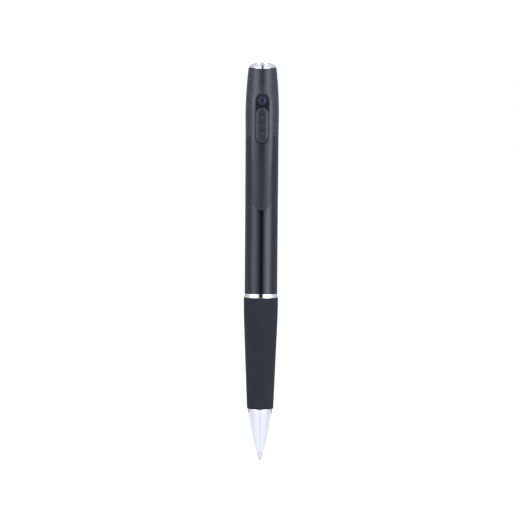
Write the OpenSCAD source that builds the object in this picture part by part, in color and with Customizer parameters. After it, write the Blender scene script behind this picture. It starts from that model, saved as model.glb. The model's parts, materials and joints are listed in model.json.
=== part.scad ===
// Ball-point pen with a camera in its cap: a lens behind a sliding cover in the root of the pocket clip,
// a record button on top, a lower half that pulls off a plug with the charging socket,
// and a grip that twists to draw the refill in.
// Z runs up the pen's axis from the writing point, and the clip and the lens face -Y.

/* [Lengths along the pen] */
// How far the writing point stands out of the nose cone
point_out = 3.4; // [2.4:0.1:4.0]
// Length of the nose cone below its collar
cone_len = 14.7; // [12:0.1:20]
// Height of the collar on the nose cone
collar_h = 1.6; // [1:0.1:3]
// Length of the rubber grip
grip_len = 41.6; // [39:0.1:55]
// Height of the bright ring between the grip and the barrel
ring_h = 1.75; // [1.2:0.05:3]
// Bevel on the edges of that ring
ring_edge = 0.12; // [0.05:0.01:0.3]
// Length of the barrel that shows between the ring and the cap
barrel_len = 59.1; // [58:0.1:75]
// Length of the cap
cap_len = 25.8; // [25:0.1:30]
// Height of the bezel above the cap's rim
bezel_h = 1.45; // [1:0.05:2.5]
// How far the button stands out of the bezel
button_out = 0.45; // [0.2:0.05:0.8]

/* [Barrel and cap] */
// Outer diameter of the barrel
barrel_d = 12.5; // [12.4:0.1:14]
// Wall of the barrel
barrel_wall = 0.75; // [0.6:0.05:0.8]
// Diameter of the cap where it is widest
cap_d = 12.64; // [12.6:0.02:14.2]
// Height of the widest place above the cap's lower edge
cap_belly = 7.7; // [5:0.1:9]
// Diameter of the cap's rim
cap_rim_d = 10.54; // [10.3:0.02:11.5]
// Diameter of the bore in the lower part of the cap
cap_bore_d = 10.2; // [10.1:0.05:10.4]
// Diameter of the bore in the top of the cap, which takes the bezel
cap_top_bore_d = 8.9; // [8.8:0.05:9.2]
// Depth of the top bore below the rim
cap_top_depth = 7.1; // [6.6:0.1:7.6]
// Height of the barrel's spigot inside the cap
spigot_h = 3.2; // [2:0.1:4]
// Wall of the spigot
spigot_wall = 0.7; // [0.5:0.05:0.9]

/* [Pocket clip] */
// Width of the clip at its root
clip_w = 8.3; // [7.6:0.1:9]
// Width of the clip above its rounded end
clip_end_w = 6.6; // [5.5:0.1:7.4]
// Radius of the corners at the end of the clip
clip_corner = 2.4; // [1.5:0.1:2.7]
// How far the clip reaches down below the cap's lower edge
clip_reach = 27.6; // [20:0.1:36]
// Thickness of the clip's arm
clip_t = 1.15; // [0.9:0.05:1.3]
// Gap between the barrel and the end of the clip
clip_gap = 0.15; // [0.1:0.01:0.4]
// Height of the crest above the cap's lower edge
clip_crest = 9.7; // [9:0.1:11]
// How much nearer to the axis the end of the clip is than the crest
clip_drop = 0.95; // [0.6:0.05:1.0]
// Length of the ramp from the crest up to the cap's surface
ramp_len = 8.5; // [8:0.1:11]
// How far the ramp's upper end lies under the cap's surface
ramp_sink = 0.3; // [0.2:0.05:0.5]
// How far the clip's root hugs the barrel below the cap's lower edge
root_h = 5.5; // [4.5:0.1:8]
// Gap between the clip's root and the barrel
root_gap = 0.1; // [0.05:0.01:0.12]

/* [Lens cover and its slot] */
// Width of the slot
slot_w = 5.2; // [5:0.05:5.6]
// Distance of the slot's top from the cap's rim
slot_down = 9.8; // [9.2:0.1:10.4]
// How far the slot reaches down below the cap's lower edge
slot_drop = 2.8; // [2:0.1:3.4]
// Wall between the slot's floor and the inside of the clip's root
slot_wall = 0.45; // [0.35:0.01:0.6]
// Gap around the cover in the slot, at its sides and its lower end
cover_gap = 0.25; // [0.2:0.05:0.5]
// Height of the cover's straight edge
cover_edge = 0.7; // [0.4:0.05:0.9]
// Width of the bevel around the cover's face
cover_bevel_w = 0.8; // [0.5:0.05:1]
// Height of that bevel
cover_bevel_h = 0.55; // [0.3:0.05:0.7]
// Travel of the cover from open to closed
cover_travel = 5; // [4:0.1:5.2]
// Number of finger ridges on the cover
ridge_count = 3; // [2:1:4]
// Distance between the ridges
ridge_pitch = 3; // [2:0.1:3.2]
// Length of a ridge
ridge_len = 1.4; // [1.2:0.1:2.4]
// Radius of a ridge
ridge_r = 0.5; // [0.35:0.05:0.7]
// How far a ridge stands out of the cover's face
ridge_out = 0.18; // [0.1:0.02:0.25]
// Width of the stem that passes through the cap's wall
stem_w = 1.4; // [1.2:0.1:1.8]
// Height of the stem
stem_h = 2.2; // [1.6:0.1:2.6]
// Height of the stem's lower edge above the cap's lower edge, with the cover open
stem_z = 1.2; // [1:0.1:1.6]
// Width of the plate that holds the cover in
retainer_w = 3; // [2.4:0.1:3.4]
// Thickness of that plate
retainer_t = 0.5; // [0.3:0.05:0.6]
// How far the plate reaches above and below the stem
retainer_lap = 0.4; // [0.3:0.05:0.5]

/* [Camera] */
// Diameter of the lens barrel
lens_barrel_d = 3.7; // [3.2:0.1:4.2]
// Diameter of the front lens
lens_d = 2.6; // [2:0.1:2.8]
// Thickness of the front lens at its middle
lens_t = 0.9; // [0.7:0.05:1.2]
// Radius of the lens's front face
lens_face_r = 2.6; // [2:0.1:5]
// Width of the bevel around the lens barrel's front
lens_chamfer = 0.2; // [0.1:0.05:0.3]
// How far the lens stays behind the slot's floor
lens_sink = 0.05; // [0.02:0.01:0.1]
// Diameter of the light path behind the front lens
light_path_d = 1.8; // [1.2:0.1:2]
// Width of the camera's housing
housing_w = 6.2; // [5.4:0.1:6.6]
// Depth of the camera's housing
housing_depth = 2.6; // [2.2:0.1:2.8]
// Height of the camera's housing
housing_h = 6.6; // [5.4:0.1:7]
// Thickness of the housing's rear wall
housing_floor = 0.5; // [0.4:0.05:0.8]
// Gap between the housing's front edges and the cap's bore
housing_gap = 0.25; // [0.15:0.05:0.4]
// Width and height of the image sensor
sensor_w = 4.4; // [3.6:0.1:5]
// Thickness of the image sensor
sensor_t = 0.5; // [0.4:0.05:0.6]
// Width of the sensor's board
sensor_board_w = 5.8; // [5.2:0.1:6.2]
// Thickness of the sensor's board
sensor_board_t = 0.4; // [0.3:0.05:0.6]
// Height of the sensor's board
sensor_board_h = 7.2; // [6.8:0.1:7.8]

/* [Record button] */
// Diameter of the button
button_d = 6.1; // [5.4:0.1:6.2]
// How far the bezel's foot stays inside the cap's rim
bezel_step = 0.1; // [0.05:0.01:0.2]
// Width of the bezel's lip around the button
bezel_lip = 0.25; // [0.15:0.05:0.4]
// Radius of the bezel's bulging side
bezel_bulge = 3; // [2:0.1:6]
// Height of the button's dome
button_dome = 0.27; // [0.15:0.01:0.4]
// Play of the button's flange in the bezel's skirt
flange_gap = 0.13; // [0.08:0.01:0.2]
// Thickness of the button's flange
flange_t = 1; // [0.8:0.1:1.4]
// Depth of the bezel's guide for the button below its top
guide_depth = 2.6; // [2.4:0.1:2.8]
// Wall of the bezel's skirt
skirt_wall = 0.55; // [0.45:0.05:0.6]
// Travel of the button
button_travel = 0.5; // [0.3:0.05:0.6]
// Width and depth of the switch's body
switch_w = 4.5; // [4:0.1:4.8]
// Height of the switch's body
switch_h = 1.7; // [1.4:0.1:1.9]
// Diameter of the switch's plunger
plunger_d = 2; // [1.6:0.1:2.6]
// How far the plunger stands out of the switch's body
plunger_out = 1.3; // [1.1:0.05:1.5]
// Length of the plunger inside the switch's body
plunger_depth = 0.6; // [0.4:0.05:0.8]
// Thickness of the switch's board
switch_board_t = 0.8; // [0.6:0.1:0.9]
// Width of the status lamp
lamp_w = 0.8; // [0.6:0.05:0.9]
// Depth of the status lamp
lamp_depth = 1.6; // [1.2:0.1:1.8]
// Height of the status lamp
lamp_h = 0.6; // [0.4:0.05:0.8]
// Gap between the status lamp and the switch
lamp_gap = 0.2; // [0.1:0.05:0.25]

/* [Electronics in the barrel] */
// Width of the main board
board_w = 8.6; // [7.8:0.1:9]
// Thickness of the main board
board_t = 0.8; // [0.6:0.1:1]
// Gap between the top of the main board and the cap's lower edge
board_top_gap = 1.8; // [1.4:0.1:3]
// Thickness of the battery
battery_t = 3; // [2.4:0.1:3.4]
// Height of the battery's lower end above the barrel's lower edge
battery_up = 18.5; // [15:0.1:24]
// Distance of the battery's upper end from the cap's lower edge
battery_down = 8.6; // [8:0.1:14]
// Wall of the sled at the battery's rear edges
sled_wall = 0.24; // [0.2:0.01:0.5]
// Thickness of the sled's end walls
sled_end = 1.6; // [1:0.1:2.5]
// How far the sled's lips reach in front of the main board
sled_lip = 0.8; // [0.5:0.1:1.2]
// Width of the opening between the lips
sled_mouth = 7.6; // [7:0.1:8]
// Width and height of the processor
processor_w = 6; // [5:0.1:7]
// Thickness of the processor
processor_t = 0.9; // [0.7:0.05:1.1]
// Distance of the processor's middle from the top of the main board
processor_down = 17.3; // [13:0.1:20]
// Width of the memory chip
memory_w = 6; // [5:0.1:7]
// Thickness of the memory chip
memory_t = 1; // [0.7:0.05:1.1]
// Height of the memory chip
memory_h = 8; // [6:0.1:10]
// Distance of the memory chip's middle from the top of the main board
memory_down = 29.3; // [28:0.1:40]
// Width of the microphone
mic_w = 1.9; // [1.5:0.1:3]
// Thickness of the microphone
mic_t = 1.1; // [0.8:0.05:1.2]
// Height of the microphone
mic_h = 2.8; // [2:0.1:3.4]
// Distance of the microphone's middle from the top of the main board
mic_down = 7.3; // [6:0.1:10]
// Width of the flat cables
ribbon_w = 3; // [2:0.1:3.4]
// Thickness of the flat cables
ribbon_t = 0.15; // [0.1:0.01:0.2]
// How far the flat cables lie on the main board
ribbon_land = 3; // [2:0.1:4]

/* [Plug and charging socket] */
// Length of the plug below the barrel
plug_len = 6.2; // [5.8:0.1:7]
// Wall of the plug at the corners of the socket
plug_wall = 0.81; // [0.75:0.01:0.9]
// Length of the plug's root inside the barrel
plug_root = 4; // [3:0.1:6]
// Width of the socket's shell
socket_w = 7.4; // [6.8:0.1:7.6]
// Thickness of the socket's shell
socket_t = 2.4; // [1.8:0.1:2.8]
// Depth of the socket's shell
socket_depth = 5.2; // [4.6:0.1:5.6]
// Width of the slanted corners on the socket's front side
socket_cut_w = 1; // [0.6:0.1:1.4]
// Thickness of those corners
socket_cut_t = 0.8; // [0.5:0.1:1.2]
// Sheet thickness of the socket's shell
socket_wall = 0.25; // [0.2:0.01:0.3]
// Width of the socket's tongue
tongue_w = 4; // [3.4:0.1:4.6]
// Thickness of the socket's tongue
tongue_t = 0.6; // [0.4:0.05:0.8]
// How far the tongue stays behind the socket's mouth
tongue_back = 0.7; // [0.4:0.1:1]
// Radius of the seal ring's section
seal_r = 0.25; // [0.2:0.01:0.28]
// Height of the seal ring above the plug's lower end
seal_z = 2.2; // [1.6:0.1:3]

/* [Grip and nose cone] */
// Wall of the grip's core at its top
core_wall = 0.58; // [0.5:0.02:0.9]
// Diameter of the rubber grip at its lower end
grip_end_d = 9.96; // [9.8:0.02:10.6]
// Length of the curved part at the top of the grip
grip_curve = 9.3; // [6:0.1:12]
// Thickness of the rubber
rubber_t = 0.7; // [0.5:0.05:0.8]
// Radius of the rounded lower edge of the rubber
rubber_edge = 0.35; // [0.2:0.05:0.45]
// Diameter of the collar on the nose cone
collar_d = 9.4; // [9:0.1:9.6]
// Diameter of the nose cone below the collar
cone_d = 8.96; // [8.4:0.02:9.2]
// Diameter of the nose cone's lower end
cone_end_d = 2.9; // [2.8:0.02:3.4]
// Radius of the nose cone's bulging side
cone_bulge = 86; // [60:1:200]
// Diameter of the spigot that holds the nose cone in the grip
cone_spigot_d = 6.6; // [6:0.1:7]
// Length of that spigot
cone_spigot_h = 6.8; // [5:0.1:9]

/* [Twist mechanism] */
// Travel of the refill
stroke = 4.5; // [4.1:0.1:4.6]
// Turn of the grip that draws the refill in, in degrees
twist_turn = 180; // [150:5:180]
// Wall of the coupling's sleeve
sleeve_wall = 0.4; // [0.35:0.01:0.45]
// Thickness of the coupling's floor
sleeve_floor = 1; // [0.8:0.1:1.4]
// Thickness of the guide tube's flange
guide_flange_t = 0.4; // [0.3:0.05:0.5]
// Diameter of the guide tube's flange
guide_flange_d = 6.6; // [6:0.1:7.5]
// Inner diameter of the guide tube
guide_bore_d = 3.9; // [3.7:0.05:4]
// Wall of the guide tube
guide_wall = 0.6; // [0.5:0.05:0.65]
// Wall of the cam sleeve
cam_wall = 0.96; // [0.8:0.02:1.1]
// Distance of the cross pin's highest place from the top of the cam sleeve
pin_down = 2.4; // [2.2:0.1:3]
// Diameter of the cross pin
pin_d = 1; // [0.8:0.05:1.1]
// Height of the grooves for the retaining ring
snap_h = 0.75; // [0.6:0.05:0.9]
// Depth of those grooves
snap_depth = 0.2; // [0.15:0.01:0.25]
// Height of the retaining ring above the coupling's floor
snap_z = 2.2; // [1.8:0.1:3]
// Opening of the retaining ring, in degrees
snap_open = 50; // [30:5:90]

/* [Refill] */
// Diameter of the refill's tube
refill_d = 2.3; // [2.2:0.05:2.35]
// Wall of the refill's tube
refill_wall = 0.25; // [0.2:0.05:0.35]
// Length of the refill's tube inside its holder
refill_grip = 2.9; // [2:0.1:3.1]
// Room around the refill's tube inside the grip
refill_room = 0.4; // [0.3:0.05:0.6]
// Length of the refill holder below the cross pin
holder_below = 3.7; // [3.6:0.1:4.4]
// Length of the refill holder above the cross pin
holder_above = 3; // [2:0.1:3.2]
// Diameter of the writing ball
ball_d = 0.7; // [0.5:0.05:1]
// Diameter of the writing point at its rim around the ball
point_rim_d = 0.86; // [0.82:0.02:1]
// Diameter of the writing point at its shoulder
point_shoulder_d = 1.84; // [1.4:0.02:2]
// Diameter of the writing point's stem
point_stem_d = 2.2; // [2.1:0.05:2.3]
// Height of the writing point's rim above the lower end of the ball
rim_z = 0.26; // [0.2:0.01:0.3]
// Height of the shoulder above the lower end of the ball
shoulder_z = 1.5; // [1.2:0.1:2]
// Length of the writing point up to the refill's tube
point_len = 8; // [6:0.1:12]
// Length of the writing point's plug inside the tube
point_plug = 3; // [2:0.1:4]

/* [Fits] */
// Radial play of pieces that slide or turn in each other
slip = 0.05; // [0.03:0.01:0.08]
// Radial play of pieces that are pressed or glued together
seat = 0.02; // [0.01:0.01:0.03]
// Gap between faces that turn against each other
face_gap = 0.15; // [0.1:0.01:0.2]
// Room left at the end of blind holes and strokes
end_gap = 0.3; // [0.2:0.05:0.4]

/* [Hidden] */
$fn = 96;
// Segments of the long flat arcs
fine = 1440;
// Overrun of cutting shapes
over = 1;

// Heights of the pieces that show, from the writing point up
z_cone = point_out;
z_collar = z_cone + cone_len;
z_grip = z_collar + collar_h;
z_grip_top = z_grip + grip_len;
z_ring = z_grip_top + face_gap;
z_barrel = z_ring + ring_h;
z_cap = z_barrel + barrel_len;
z_rim = z_cap + cap_len;
z_bezel = z_rim + bezel_h;
z_top = z_bezel + button_out;

// Barrel and cap
barrel_r = barrel_d / 2;
barrel_bore_r = barrel_r - barrel_wall;
cap_r = cap_d / 2;
cap_rim_r = cap_rim_d / 2;
cap_bore_r = cap_bore_d / 2;
cap_top_bore_r = cap_top_bore_d / 2;
spigot_r = cap_bore_r - seat;
z_belly = z_cap + cap_belly;
cap_arc = arc_radius(z_rim - z_belly, cap_r - cap_rim_r);

// Clip
clip_r = barrel_r + clip_gap + clip_t + clip_drop;
z_clip_end = z_cap - clip_reach;
z_crest = z_cap + clip_crest;
z_ramp = z_crest + ramp_len;
z_root = z_cap - root_h;
arm_arc = arc_radius(z_crest - z_clip_end, clip_drop);
ramp_arc = arc_radius(ramp_len, clip_r - cap_radius(z_ramp) + ramp_sink);
root_r = barrel_r + root_gap;

// Slot, cover and lens
slot_r = slot_w / 2;
z_slot = z_cap - slot_drop;
z_slot_top = z_rim - slot_down;
slot_floor = root_r + slot_wall;
z_lens = z_slot_top - slot_r;
cover_back = slot_floor + slip;
cover_w = slot_w - 2 * cover_gap;
cover_len = z_slot_top - z_slot - cover_travel - 2 * cover_gap - 2 * slip;
z_cover = z_slot + cover_gap;
cover_front = cover_back + cover_edge + cover_bevel_h;
z_stem = z_cap + stem_z;
retainer_y = sqrt(pow(cap_bore_r, 2) - pow(retainer_w / 2, 2)) - slip;
lens_barrel_r = lens_barrel_d / 2;
lens_front = slot_floor - lens_sink;
housing_front = sqrt(pow(cap_bore_r, 2) - pow(housing_w / 2, 2)) - housing_gap;
housing_back = housing_front - housing_depth;
sensor_back = housing_back - sensor_t;
sensor_board_back = sensor_back - sensor_board_t;

// Button and switch
button_r = button_d / 2;
skirt_r = cap_top_bore_r - seat;
skirt_bore_r = skirt_r - skirt_wall;
flange_r = skirt_bore_r - flange_gap;
z_skirt = z_rim - cap_top_depth + end_gap;
z_guide = z_bezel - guide_depth;
z_flange = z_guide - seat - flange_t;
z_switch_top = z_flange - plunger_out;
z_switch = z_switch_top - switch_h;
z_switch_board = z_switch - switch_board_t;

// Boards and cells
z_plug = z_barrel - plug_len;
z_socket_back = z_plug + slip + socket_depth;
z_board_top = z_cap - board_top_gap;
z_board_step = z_barrel + plug_root + end_gap;
sled_r = barrel_bore_r - slip;
battery_back = board_t / 2 + slip + battery_t;
battery_w = 2 * sqrt(pow(sled_r - sled_wall, 2) - pow(battery_back, 2));
battery_h = barrel_len - battery_up - battery_down;
z_battery = z_barrel + battery_up;
z_sled = z_battery - end_gap - sled_end;
z_sled_top = z_battery + battery_h + end_gap + sled_end;
tail_w = socket_w - 2 * end_gap;

// Plug and coupling
plug_r = norm([socket_w, socket_t]) / 2 + plug_wall;
seal_center = plug_r + slip - seat / 2 - seal_r;
sleeve_bore_r = plug_r + slip;
sleeve_r = sleeve_bore_r + sleeve_wall;
z_floor_top = z_plug - guide_flange_t - end_gap;
z_floor = z_floor_top - sleeve_floor;
z_snap = z_floor_top + snap_z;
snap_bottom_r = sleeve_r - snap_depth;
core_bore_r = sleeve_r + slip;
snap_top_r = core_bore_r + snap_depth;

// Guide tube, cam and refill
guide_bore_r = guide_bore_d / 2;
guide_r = guide_bore_r + guide_wall;
guide_flange_r = guide_flange_d / 2;
cam_bore_r = guide_r + slip;
cam_r = cam_bore_r + cam_wall;
z_cam_top = z_floor - end_gap;
z_pin_in = z_cam_top - pin_down;
z_pin = z_pin_in - stroke;
pin_r = pin_d / 2;
z_guide_tube = z_pin - holder_below;
z_cam = z_guide_tube - end_gap;
holder_r = guide_bore_r - slip;
refill_r = refill_d / 2;
z_refill_top = z_guide_tube + refill_grip;
core_hole_r = refill_r + refill_room;
cone_spigot_r = cone_spigot_d / 2;

// Grip
grip_r = core_bore_r + core_wall + rubber_t;
grip_end_r = grip_end_d / 2;
z_curve = z_grip_top - grip_curve;
grip_slope = (grip_r - grip_end_r) / (grip_len - grip_curve / 2);
grip_arc = grip_curve / grip_slope;
curve_drop = arc_drop(grip_arc, grip_curve);

// Radius of an arc that falls by drop over a length that starts along its tangent
function arc_radius(length, drop) = (pow(length, 2) + pow(drop, 2)) / (2 * drop);

// Fall of an arc of this radius over a length that starts along its tangent
function arc_drop(radius, length) = radius - sqrt(pow(radius, 2) - pow(length, 2));

// Outer radius of the cap at a height above its widest place
function cap_radius(z) = cap_r - arc_drop(cap_arc, z - z_belly);

// Unit vector square to the step between two points, on its left
function left_of(from, to) = [from[1] - to[1], to[0] - from[0]] / norm(to - from);

// Point on the edge of a flat cable beside a point of its path, mitred where the path bends
function ribbon_edge(path, i, aside) =
    let(
        last = len(path) - 1,
        before = left_of(path[max(i - 1, 0)], path[max(i, 1)]),
        after = left_of(path[min(i, last - 1)], path[min(i + 1, last)]),
        across = (before + after) / norm(before + after)
    )
    path[i] + across * aside / (across * before);

// Solid disc or rod about the pen's axis
module rod(r, z0, z1) {
    translate([0, 0, z0]) cylinder(r = r, h = z1 - z0);
}

// Tube about the pen's axis
module tube(r_out, r_in, z0, z1) {
    difference() {
        rod(r_out, z0, z1);
        rod(r_in, z0 - over, z1 + over);
    }
}

// Box centred on x = 0, from the height z0 upwards, with its front face at y0
module slab(size, y0, z0) {
    translate([-size[0] / 2, y0, z0]) cube(size);
}

// Outline in X and Z, drawn out along Y
module front(y0, y1) {
    translate([0, y1, 0]) rotate([90, 0, 0]) linear_extrude(y1 - y0) children();
}

// Upright outline with round ends
module stadium(width, z0, z1) {
    r = width / 2;
    translate([0, z0 + r]) circle(r = r);
    translate([0, z1 - r]) circle(r = r);
    translate([-r, z0 + r]) square([width, z1 - z0 - width]);
}

// Region of radius and height inside an arc that touches r at z
module arc_side(r, z, arc, z0, z1) {
    intersection() {
        translate([r - arc, z]) circle(r = arc, $fn = fine);
        translate([0, z0]) square([r, z1 - z0]);
    }
}

// Half section, from the axis out, whose side bulges in an arc from the point low to the point high
module bulged_section(low, high, bulge) {
    chord = high - low;
    along = chord / norm(chord);
    inward = [-along[1], along[0]];
    center = (low + high) / 2 + inward * sqrt(pow(bulge, 2) - pow(norm(chord) / 2, 2));
    intersection() {
        translate(center) circle(r = bulge, $fn = fine);
        translate([0, low[1]]) square([max(low[0], high[0]), chord[1]]);
    }
}

// Flat cable that follows a path in Y and Z
module ribbon_along(path) {
    last = len(path) - 1;
    rotate([90, 0, 90]) translate([0, 0, -ribbon_w / 2]) linear_extrude(ribbon_w) polygon(concat(
        [for (i = [0 : last]) ribbon_edge(path, i, ribbon_t / 2)],
        [for (i = [last : -1 : 0]) ribbon_edge(path, i, -ribbon_t / 2)]
    ));
}

// Cap: half section from the axis out
module cap_section() {
    arc_side(cap_r, z_belly, cap_arc, z_belly, z_rim);
    polygon([[0, z_cap], [barrel_r, z_cap], [cap_r, z_belly], [0, z_belly]]);
}

// Clip: half section, with the arm free of the barrel below its root
module clip_section() {
    difference() {
        union() {
            arc_side(clip_r, z_crest, arm_arc, z_clip_end, z_crest);
            arc_side(clip_r, z_crest, ramp_arc, z_crest, z_ramp);
        }
        arc_side(clip_r - clip_t, z_crest, arm_arc - clip_t, z_clip_end - over, z_root);
        translate([0, z_root - over]) square([root_r, root_h + over]);
    }
}

// Clip seen from the front
module clip_outline() {
    half = clip_w / 2;
    end_half = clip_end_w / 2;
    z_corner = z_clip_end + clip_corner;
    polygon([
        [-half, z_ramp], [half, z_ramp], [half, z_slot],
        [end_half, z_corner], [-end_half, z_corner], [-half, z_slot]
    ]);
    for (side = [-1, 1]) translate([side * (end_half - clip_corner), z_corner]) circle(r = clip_corner);
    translate([clip_corner - end_half, z_clip_end]) square([clip_end_w - 2 * clip_corner, clip_corner]);
}

module cap_clip() {
    color([0.20, 0.20, 0.22]) difference() {
        union() {
            rotate_extrude() cap_section();
            intersection() {
                rotate_extrude() clip_section();
                front(-clip_r - over, -barrel_r / 2) clip_outline();
            }
        }
        rod(cap_bore_r, z_cap - over, z_rim - cap_top_depth);
        rod(cap_top_bore_r, z_rim - cap_top_depth - over, z_rim + over);
        front(-clip_r - over, -slot_floor) stadium(slot_w, z_slot, z_slot_top);
        front(-clip_r, 0) translate([0, z_lens]) circle(r = lens_barrel_r + slip);
        slab(
            [stem_w + 2 * slip, clip_r, stem_h + cover_travel + 2 * slip],
            -clip_r, z_stem - slip
        );
    }
}

module upper_barrel() {
    color([0.08, 0.08, 0.09]) difference() {
        rotate_extrude() polygon([
            [barrel_bore_r, z_barrel], [barrel_r, z_barrel], [barrel_r, z_cap],
            [spigot_r, z_cap], [spigot_r, z_cap + spigot_h],
            [spigot_r - spigot_wall, z_cap + spigot_h], [spigot_r - spigot_wall, z_cap - over],
            [barrel_bore_r, z_cap - over]
        ]);
        slab(
            [retainer_w + 4 * end_gap, cap_bore_r, spigot_h + over],
            -cap_bore_r, z_stem - retainer_lap - end_gap
        );
    }
}

module top_bezel() {
    hole_r = button_r + slip;
    color([0.85, 0.86, 0.88]) rotate_extrude() difference() {
        union() {
            translate([0, z_skirt]) square([skirt_r, z_rim - z_skirt]);
            bulged_section([cap_rim_r - bezel_step, z_rim], [hole_r + bezel_lip, z_bezel], bezel_bulge);
        }
        translate([0, z_skirt - over]) square([skirt_bore_r, z_guide - z_skirt + over]);
        translate([0, z_guide - over]) square([hole_r, guide_depth + 2 * over]);
    }
}

module record_button() {
    color([0.82, 0.83, 0.86]) union() {
        rod(flange_r, z_flange, z_flange + flange_t);
        intersection() {
            rod(button_r, z_flange, z_top);
            dome = arc_radius(button_r, button_dome);
            translate([0, 0, z_top - dome]) sphere(r = dome, $fn = 400);
        }
    }
}

module switch_plunger() {
    color([0.12, 0.12, 0.13]) rod(plunger_d / 2, z_switch_top - plunger_depth, z_flange);
}

module tact_switch() {
    color([0.30, 0.30, 0.32]) difference() {
        slab([switch_w, switch_w, switch_h], -switch_w / 2, z_switch);
        rod(plunger_d / 2 + slip, z_switch_top - plunger_depth - button_travel - seat, z_switch_top + over);
    }
}

module switch_board() {
    color([0.10, 0.35, 0.18]) rod(skirt_bore_r - seat, z_switch_board, z_switch);
}

module status_lamp() {
    color([0.75, 0.85, 1.0]) translate([switch_w / 2 + lamp_gap + lamp_w / 2, 0, 0])
        slab([lamp_w, lamp_depth, lamp_h], -lamp_depth / 2, z_switch);
}

module camera_housing() {
    color([0.14, 0.14, 0.15]) difference() {
        slab([housing_w, housing_depth, housing_h], -housing_front, z_lens - housing_h / 2);
        front(-housing_front - over, -housing_back - housing_floor) translate([0, z_lens])
            circle(r = lens_barrel_r + seat);
        front(-housing_front, over) translate([0, z_lens]) circle(d = light_path_d);
    }
}

module lens_barrel() {
    back = housing_back + housing_floor;
    lens_back = lens_front - lens_t;
    color([0.32, 0.35, 0.42]) translate([0, 0, z_lens]) rotate([90, 0, 0]) rotate_extrude() polygon([
        [light_path_d / 2, back], [lens_barrel_r, back],
        [lens_barrel_r, lens_front - lens_chamfer], [lens_barrel_r - lens_chamfer, lens_front],
        [lens_d / 2 + seat, lens_front], [lens_d / 2 + seat, lens_back], [light_path_d / 2, lens_back]
    ]);
}

module front_lens() {
    color([0.12, 0.14, 0.28]) translate([0, 0, z_lens]) rotate([90, 0, 0]) intersection() {
        rod(lens_d / 2, lens_front - lens_t, lens_front);
        translate([0, 0, lens_front - lens_face_r]) sphere(r = lens_face_r);
    }
}

module image_sensor() {
    color([0.25, 0.22, 0.30]) slab([sensor_w, sensor_t, sensor_w], -housing_back, z_lens - sensor_w / 2);
}

module sensor_board() {
    size = [sensor_board_w, sensor_board_t, sensor_board_h];
    color([0.10, 0.35, 0.18]) slab(size, -sensor_back, z_lens - sensor_board_h / 2);
}

module camera_ribbon() {
    y_board = -board_t / 2 - ribbon_t / 2;
    y_sensor = -sensor_board_back + ribbon_t / 2;
    z_sensor = z_lens - sensor_board_h / 2;
    color([0.80, 0.50, 0.15]) ribbon_along([
        [y_board, z_board_top - ribbon_land],
        [y_board, z_board_top + end_gap],
        [y_sensor, z_sensor - end_gap],
        [y_sensor, z_sensor + ribbon_land]
    ]);
}

module switch_ribbon() {
    y_board = board_t / 2 + ribbon_t / 2;
    y_top = -sensor_board_back + 2 * end_gap + ribbon_t;
    color([0.80, 0.50, 0.15]) ribbon_along([
        [y_board, z_board_top - ribbon_land],
        [y_board, z_board_top + end_gap],
        [y_top, z_lens - sensor_board_h],
        [y_top, z_switch_board]
    ]);
}

module main_board() {
    color([0.10, 0.35, 0.18]) union() {
        slab([board_w, board_t, z_board_top - z_board_step], -board_t / 2, z_board_step);
        slab([tail_w, board_t, z_board_step - z_socket_back], -board_t / 2, z_socket_back);
    }
}

// Chip on the front face of the main board, with its middle this far below the board's top
module chip(size, down) {
    slab(size, -board_t / 2 - size[1], z_board_top - down - size[2] / 2);
}

module processor_chip() {
    color([0.10, 0.10, 0.11]) chip([processor_w, processor_t, processor_w], processor_down);
}

module memory_chip() {
    color([0.12, 0.12, 0.13]) chip([memory_w, memory_t, memory_h], memory_down);
}

module microphone() {
    color([0.75, 0.70, 0.55]) chip([mic_w, mic_t, mic_h], mic_down);
}

module battery() {
    color([0.55, 0.58, 0.62]) slab([battery_w, battery_t, battery_h], battery_back - battery_t, z_battery);
}

module inner_sled() {
    groove = board_t / 2 + seat;
    color([0.88, 0.88, 0.86]) difference() {
        rod(sled_r, z_sled, z_sled_top);
        slab([2 * sled_r, sled_r, z_sled_top], -sled_r - groove - sled_lip, z_sled / 2);
        slab([sled_mouth, sled_r, z_sled_top], -sled_r, z_sled / 2);
        slab([board_w + 2 * seat, 2 * groove, z_sled_top], -groove, z_sled / 2);
        slab(
            [battery_w + 2 * slip, battery_t + 2 * slip + seat, battery_h + 2 * end_gap],
            board_t / 2, z_battery - end_gap
        );
    }
}

// Outline of the charging socket, wide on its rear side and with slanted corners at the front
module socket_outline(size) {
    half = size[0] / 2;
    deep = size[1] / 2;
    polygon([
        [-half, deep], [half, deep], [half, socket_cut_t - deep], [half - socket_cut_w, -deep],
        [socket_cut_w - half, -deep], [-half, socket_cut_t - deep]
    ]);
}

module socket_shell() {
    inner = [socket_w - 2 * socket_wall, socket_t - 2 * socket_wall];
    color([0.70, 0.71, 0.73]) translate([0, 0, z_socket_back - socket_depth]) difference() {
        linear_extrude(socket_depth) socket_outline([socket_w, socket_t]);
        translate([0, 0, -over]) linear_extrude(socket_depth + over - socket_wall) socket_outline(inner);
    }
}

module socket_tongue() {
    z_tongue = z_socket_back - socket_depth + tongue_back;
    color([0.15, 0.15, 0.16])
        slab([tongue_w, tongue_t, z_socket_back - socket_wall - z_tongue], -tongue_t / 2, z_tongue);
}

module joint_plug() {
    foot_r = barrel_bore_r - seat;
    groove_r = seal_center - seal_r - seat;
    groove_h = 2 * seal_r + 2 * slip;
    z_seal = z_plug + seal_z;
    color([0.16, 0.16, 0.17]) difference() {
        union() {
            rod(plug_r, z_plug, z_barrel);
            rod(foot_r, z_barrel, z_barrel + plug_root);
        }
        tube(plug_r + over, groove_r, z_seal - groove_h / 2, z_seal + groove_h / 2);
        slab(
            [socket_w + 2 * seat, socket_t + 2 * seat, plug_len + plug_root + 2 * over],
            -socket_t / 2 - seat, z_plug - over
        );
    }
}

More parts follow.
